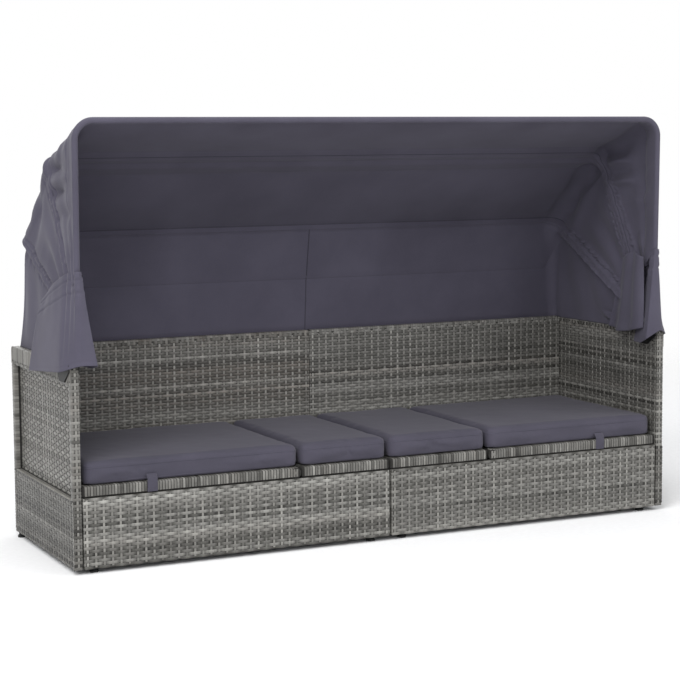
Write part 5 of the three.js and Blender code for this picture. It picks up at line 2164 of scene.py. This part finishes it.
    def build(self) -> None:
        """Builds every piece of cloth."""
        bows = ["front_bow", "mid_bow", "rear_bow"]
        self.add_roof("roof_front", self.front, "canopy_front_panel")
        self.add_roof("roof_middle", self.middle, "canopy_mid_panel")
        seam = self.curtain_seam()
        curtain = self.add(ClothSheet("curtain", self.curtain()), "hung", bows[2:], [seam])
        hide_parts("canopy_curtain")
        for piece in (curtain, seam):
            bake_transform(piece)
        for bow in (MID_BOW, REAR_BOW):
            self.add_casing(bow)
        for name, side in SIDES.items():
            skirt = self.add(ClothSheet(f"{name}_skirt_cloth", self.skirt(side)), "gathered", bows[:1])
            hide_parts(f"{name}_skirt")
            tube = ClothSheet(f"{name}_foot_sleeve", self.foot_sleeve(side), self.thin)
            foot = self.add(tube, "gathered", bows[:1])
            flap = self.add(ClothSheet(f"{name}_inner_flap", self.flap(side)), "hung", bows[2:])
            for piece, body in ((skirt, "front"), (foot, "front"), (flap, "rear")):
                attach(piece, f"{body}_bow_group")
            tuple(REAR_BOW.forward)
            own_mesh(flap)

    def add_casing(self, bow: Bow) -> None:
        """Builds the lining and the sleeve of a bow, with the lining's seam.

        Args:
            bow: The bow.
        """
        grid = self.lining(bow)
        half = 2 if bow is REAR_BOW else len(grid) // 2 - 12
        ways = [(b - a).normalized() for a, b in zip(grid[half - 1], grid[half + 1])]
        inwards = [-bow.station(column)[1] * 0.0008 for column in self.lining_columns]
        spots = [spot + inward for spot, inward in zip(grid[half], inwards)]
        seam = self.ribbon(f"{bow.name}_seam", spots, ways)
        node = f"{bow.name}_bow"
        lining = self.add(ClothSheet(f"{bow.name}_lining", grid, self.thin), "stretched", [node], [seam])
        sleeve = self.add(ClothSheet(f"{bow.name}_sleeve", self.sleeve(bow), self.thin), "gathered", [node])
        for piece in (lining, seam, sleeve):
            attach(piece, f"{bow.name}_bow_group")

    def curtain_seam(self) -> bpy.types.Object:
        """Builds the seam down the middle of the curtain, on the inside.

        Returns:
            The seam.
        """
        column = Stretch(-1, 1.0, 1.0, 1.0)
        grid = self.lining(REAR_BOW)
        middle = [row[len(row) // 2] for row in grid[20:47]]
        spots = [Vector((0, place.y - 0.0010, place.z - 0.0003)) for place in middle]
        spots += [self.curtain_place(column, row / 60) + Vector((0, -0.0010, 0)) for row in range(20, 61)]
        return self.ribbon("curtain_seam", spots, [Vector((1, 0, 0))] * len(spots))

    def add_roof(self, name: str, panel: RoofPanel, node: str) -> None:
        """Builds a roof panel between its two bows.

        Args:
            name: The piece's name.
            panel: The panel.
            node: The CAD node that it replaces.
        """
        near, far = panel.near, panel.far
        sheet = ClothSheet(name, panel.rows(self.columns, self.rows))
        piece = self.add(sheet, "stretched", [f"{near.name}_bow", f"{far.name}_bow"])
        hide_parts(node)
        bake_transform(piece)


# Straps


@dataclass
class Strap:
    """A flat strap that runs from a cushion down over the front of its panel."""

    name: str
    node: str
    body: str
    cushion: str
    rise: float = 0.010
    tuck: float = 0.0100
    rows: int = 26
    columns: int = 12

    def __post_init__(self) -> None:
        """Places the strap."""
        self.low, self.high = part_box(self.node)

    def build(self) -> bpy.types.Object:
        """Builds the strap.

        Returns:
            The new piece.
        """
        low, high = self.low, self.high

        def place_at(share: float, across: float) -> Vector:
            """Gives a place on the strap from the shares down and across it."""
            z = high.z + self.rise + (low.z - high.z - self.rise) * share
            edge = 0.0003 * (2 * across - 1) ** 8
            bow = 0.0010 * math.sin(math.pi * share) + 0.0003 * math.sin(9 * share + 4 * across)
            y = high.y - 0.0012 - bow + edge + self.tuck * (1 - smooth(share / 0.34)) ** 2
            return Vector((low.x + (high.x - low.x) * across, y, z))

        grid = lay_grid(self.rows, self.columns, place_at)
        sheet = ClothSheet(self.name, grid, 0.0013)
        piece = sheet.build(Finish.CUSHION, "cushion_cloth")
        sheet.declare()
        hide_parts(self.node)
        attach(piece, self.body)
        return piece


# Studio


class Studio:
    """The camera, the lights, the backdrop and the floor."""

    LIGHTS = (
        ("key_light", (-3.2, -3.4, 3.6), 3.4, 190.0),
        ("fill_light", (3.4, -3.6, 2.6), 3.6, 60.0),
        ("top_light", (0.0, 0.2, 4.2), 3.8, 70.0),
        ("rear_light", (0.5, 4.2, 2.8), 3.4, 60.0),
    )
    EYE = (-2.4258, -4.9910, 1.1759)
    TURNS = (25.53, 5.79, -0.45)

    def build(self) -> None:
        """Builds the studio."""
        self.camera()
        self.world()
        self.floor()
        for name, place, size, power in self.LIGHTS:
            self.area(name, Vector(place), size, power)

    def camera(self) -> None:
        """Sets the camera at the photograph's place."""
        yaw, pitch, roll = (math.radians(turn) for turn in self.TURNS)
        forward = Vector((math.sin(yaw) * math.cos(pitch), math.cos(yaw) * math.cos(pitch), -math.sin(pitch)))
        right = Vector((math.cos(yaw), -math.sin(yaw), 0))
        up = right.cross(forward)
        right, up = (
            right * math.cos(roll) + up * math.sin(roll),
            up * math.cos(roll) - right * math.sin(roll),
        )
        data = bpy.data.cameras.new("camera")
        data.lens = 95.79
        data.sensor_width = 36.0
        data.shift_x = 0.0091
        data.shift_y = -0.0196
        data.clip_end = 60.0
        camera = bpy.data.objects.new("camera", data)
        turn = Matrix((right, up, -forward)).transposed()
        camera.matrix_world = Matrix.Translation(Vector(self.EYE)) @ turn.to_4x4()
        bpy.context.scene.collection.objects.link(camera)
        bpy.context.scene.camera = camera

    def world(self) -> None:
        """Sets a white backdrop and an even sky."""
        shader = Shader(bpy.data.worlds.new("studio"), "OutputWorld")
        seen = shader.add("Background", {"Color": (1, 1, 1, 1), "Strength": 1.0})
        sky = shader.add("Background", {"Color": srgb("f4f5f8"), "Strength": 0.55})
        rays = shader.add("LightPath").outputs
        direct = shader.maths("MAXIMUM", rays["Is Camera Ray"], rays["Is Glossy Ray"])
        direct = shader.maths("MAXIMUM", direct, rays["Is Transmission Ray"])
        mixed = shader.add("MixShader", {0: direct, 1: sky.outputs[0], 2: seen.outputs[0]})
        bpy.context.scene.world = shader.finish(mixed.outputs[0])
        bpy.context.scene.view_settings.view_transform = "Standard"

    def floor(self) -> None:
        """Lays the floor."""
        work = bmesh.new()
        bmesh.ops.create_grid(work, x_segments=4, y_segments=4, size=6.0)
        mesh = bpy.data.meshes.new("floor")
        work.to_mesh(mesh)
        work.free()
        add_object("floor", mesh, (Finish.FLOOR,))

    def area(self, name: str, place: Vector, size: float, power: float) -> None:
        """Adds a soft light that faces the daybed.

        Args:
            name: The light's name.
            place: Where it hangs.
            size: Its width.
            power: Its power in watts.
        """
        data = bpy.data.lights.new(name, "AREA")
        data.shape = "SQUARE"
        data.size = size
        data.energy = power
        light = bpy.data.objects.new(name, data)
        light.location = place
        light.rotation_euler = (Vector((0, 0, 0.5)) - place).to_track_quat("-Z", "Y").to_euler()
        bpy.context.scene.collection.objects.link(light)


# The daybed


def dress_frame(nodes: dict[str, bpy.types.Object]) -> None:
    """Gives each CAD node that stays in view its finish.

    Args:
        nodes: The CAD nodes by name.
    """
    for name, node in nodes.items():
        finish = Finish.STEEL
        if "foot" in name:
            finish = Finish.PLASTIC
        elif "bolt" in name or "rod" in name:
            finish = Finish.ZINC
        elif "deck" in name or "weave" in name or "panel" in name or "reclining" in name:
            finish = Finish.CORE
        node.data.materials.clear()
        node.data.materials.append(PALETTE.get(finish))


def build_panels() -> None:
    """Builds the woven arms, backs, aprons and seat frames."""
    for number, (name, side) in enumerate(SIDES.items()):
        arm = PanelPlace(
            Vector((side * SIZE.arm_inner, SIZE.front, 0)), Vector((0, 1, 0)), Vector((side, 0, 0)),
            SIZE.back - SIZE.front,
        )
        WovenPanel(f"{name}_arm_weave", arm, 11 + number, 0.2).build(
            (f"{name}_arm_frame", f"{name}_arm_upper_weave", f"{name}_arm_lower_weave"), 0.06,
        )
        low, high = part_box(f"{name}_back_frame")
        back = PanelPlace(
            Vector((low.x, SIZE.back_face, 0)), Vector((1, 0, 0)), Vector((0, 1, 0)), high.x - low.x,
        )
        WovenPanel(f"{name}_back_weave", back, 31 + number, 0.5 if side < 0 else 0.18).build(
            (f"{name}_back_frame", f"{name}_back_upper_weave", f"{name}_back_lower_weave"), 0.0,
        )
        WovenApron(f"{name}_apron_weave", f"{name}_apron", 51 + number).build()
        WrappedFrame(f"{name}_fixed_frame", f"{name}_fixed_panel", "daybed_body", 61 + number).build()
        WrappedFrame(
            f"{name}_reclining_wraps", f"{name}_reclining_frame", f"{name}_recliner", 71 + number,
            f"{name}_hinge_rod",
        ).build()
        WovenDeck(f"{name}_deck_weave", f"{name}_reclining_deck", f"{name}_recliner", 81 + number).build()


def build_cushions() -> None:
    """Builds the four cushions and the two straps."""
    for name, side in SIDES.items():
        Cushion(f"{name}_short_cushion_cover", f"{name}_short_cushion", "daybed_body").build()
        cushion = Cushion(f"{name}_long_cushion_cover", f"{name}_long_cushion", f"{name}_recliner")
        cushion.build()
        Strap(f"{name}_strap", f"{name}_cushion_strap", f"{name}_recliner", cushion.name).build()


def main() -> None:
    """Builds the whole scene."""
    logging.basicConfig(level=logging.INFO)
    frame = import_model()
    Studio().build()
    dress_frame(frame["nodes"])
    build_cushions()
    build_panels()
    Canopy().build()


if __name__ == "__main__":
    main()
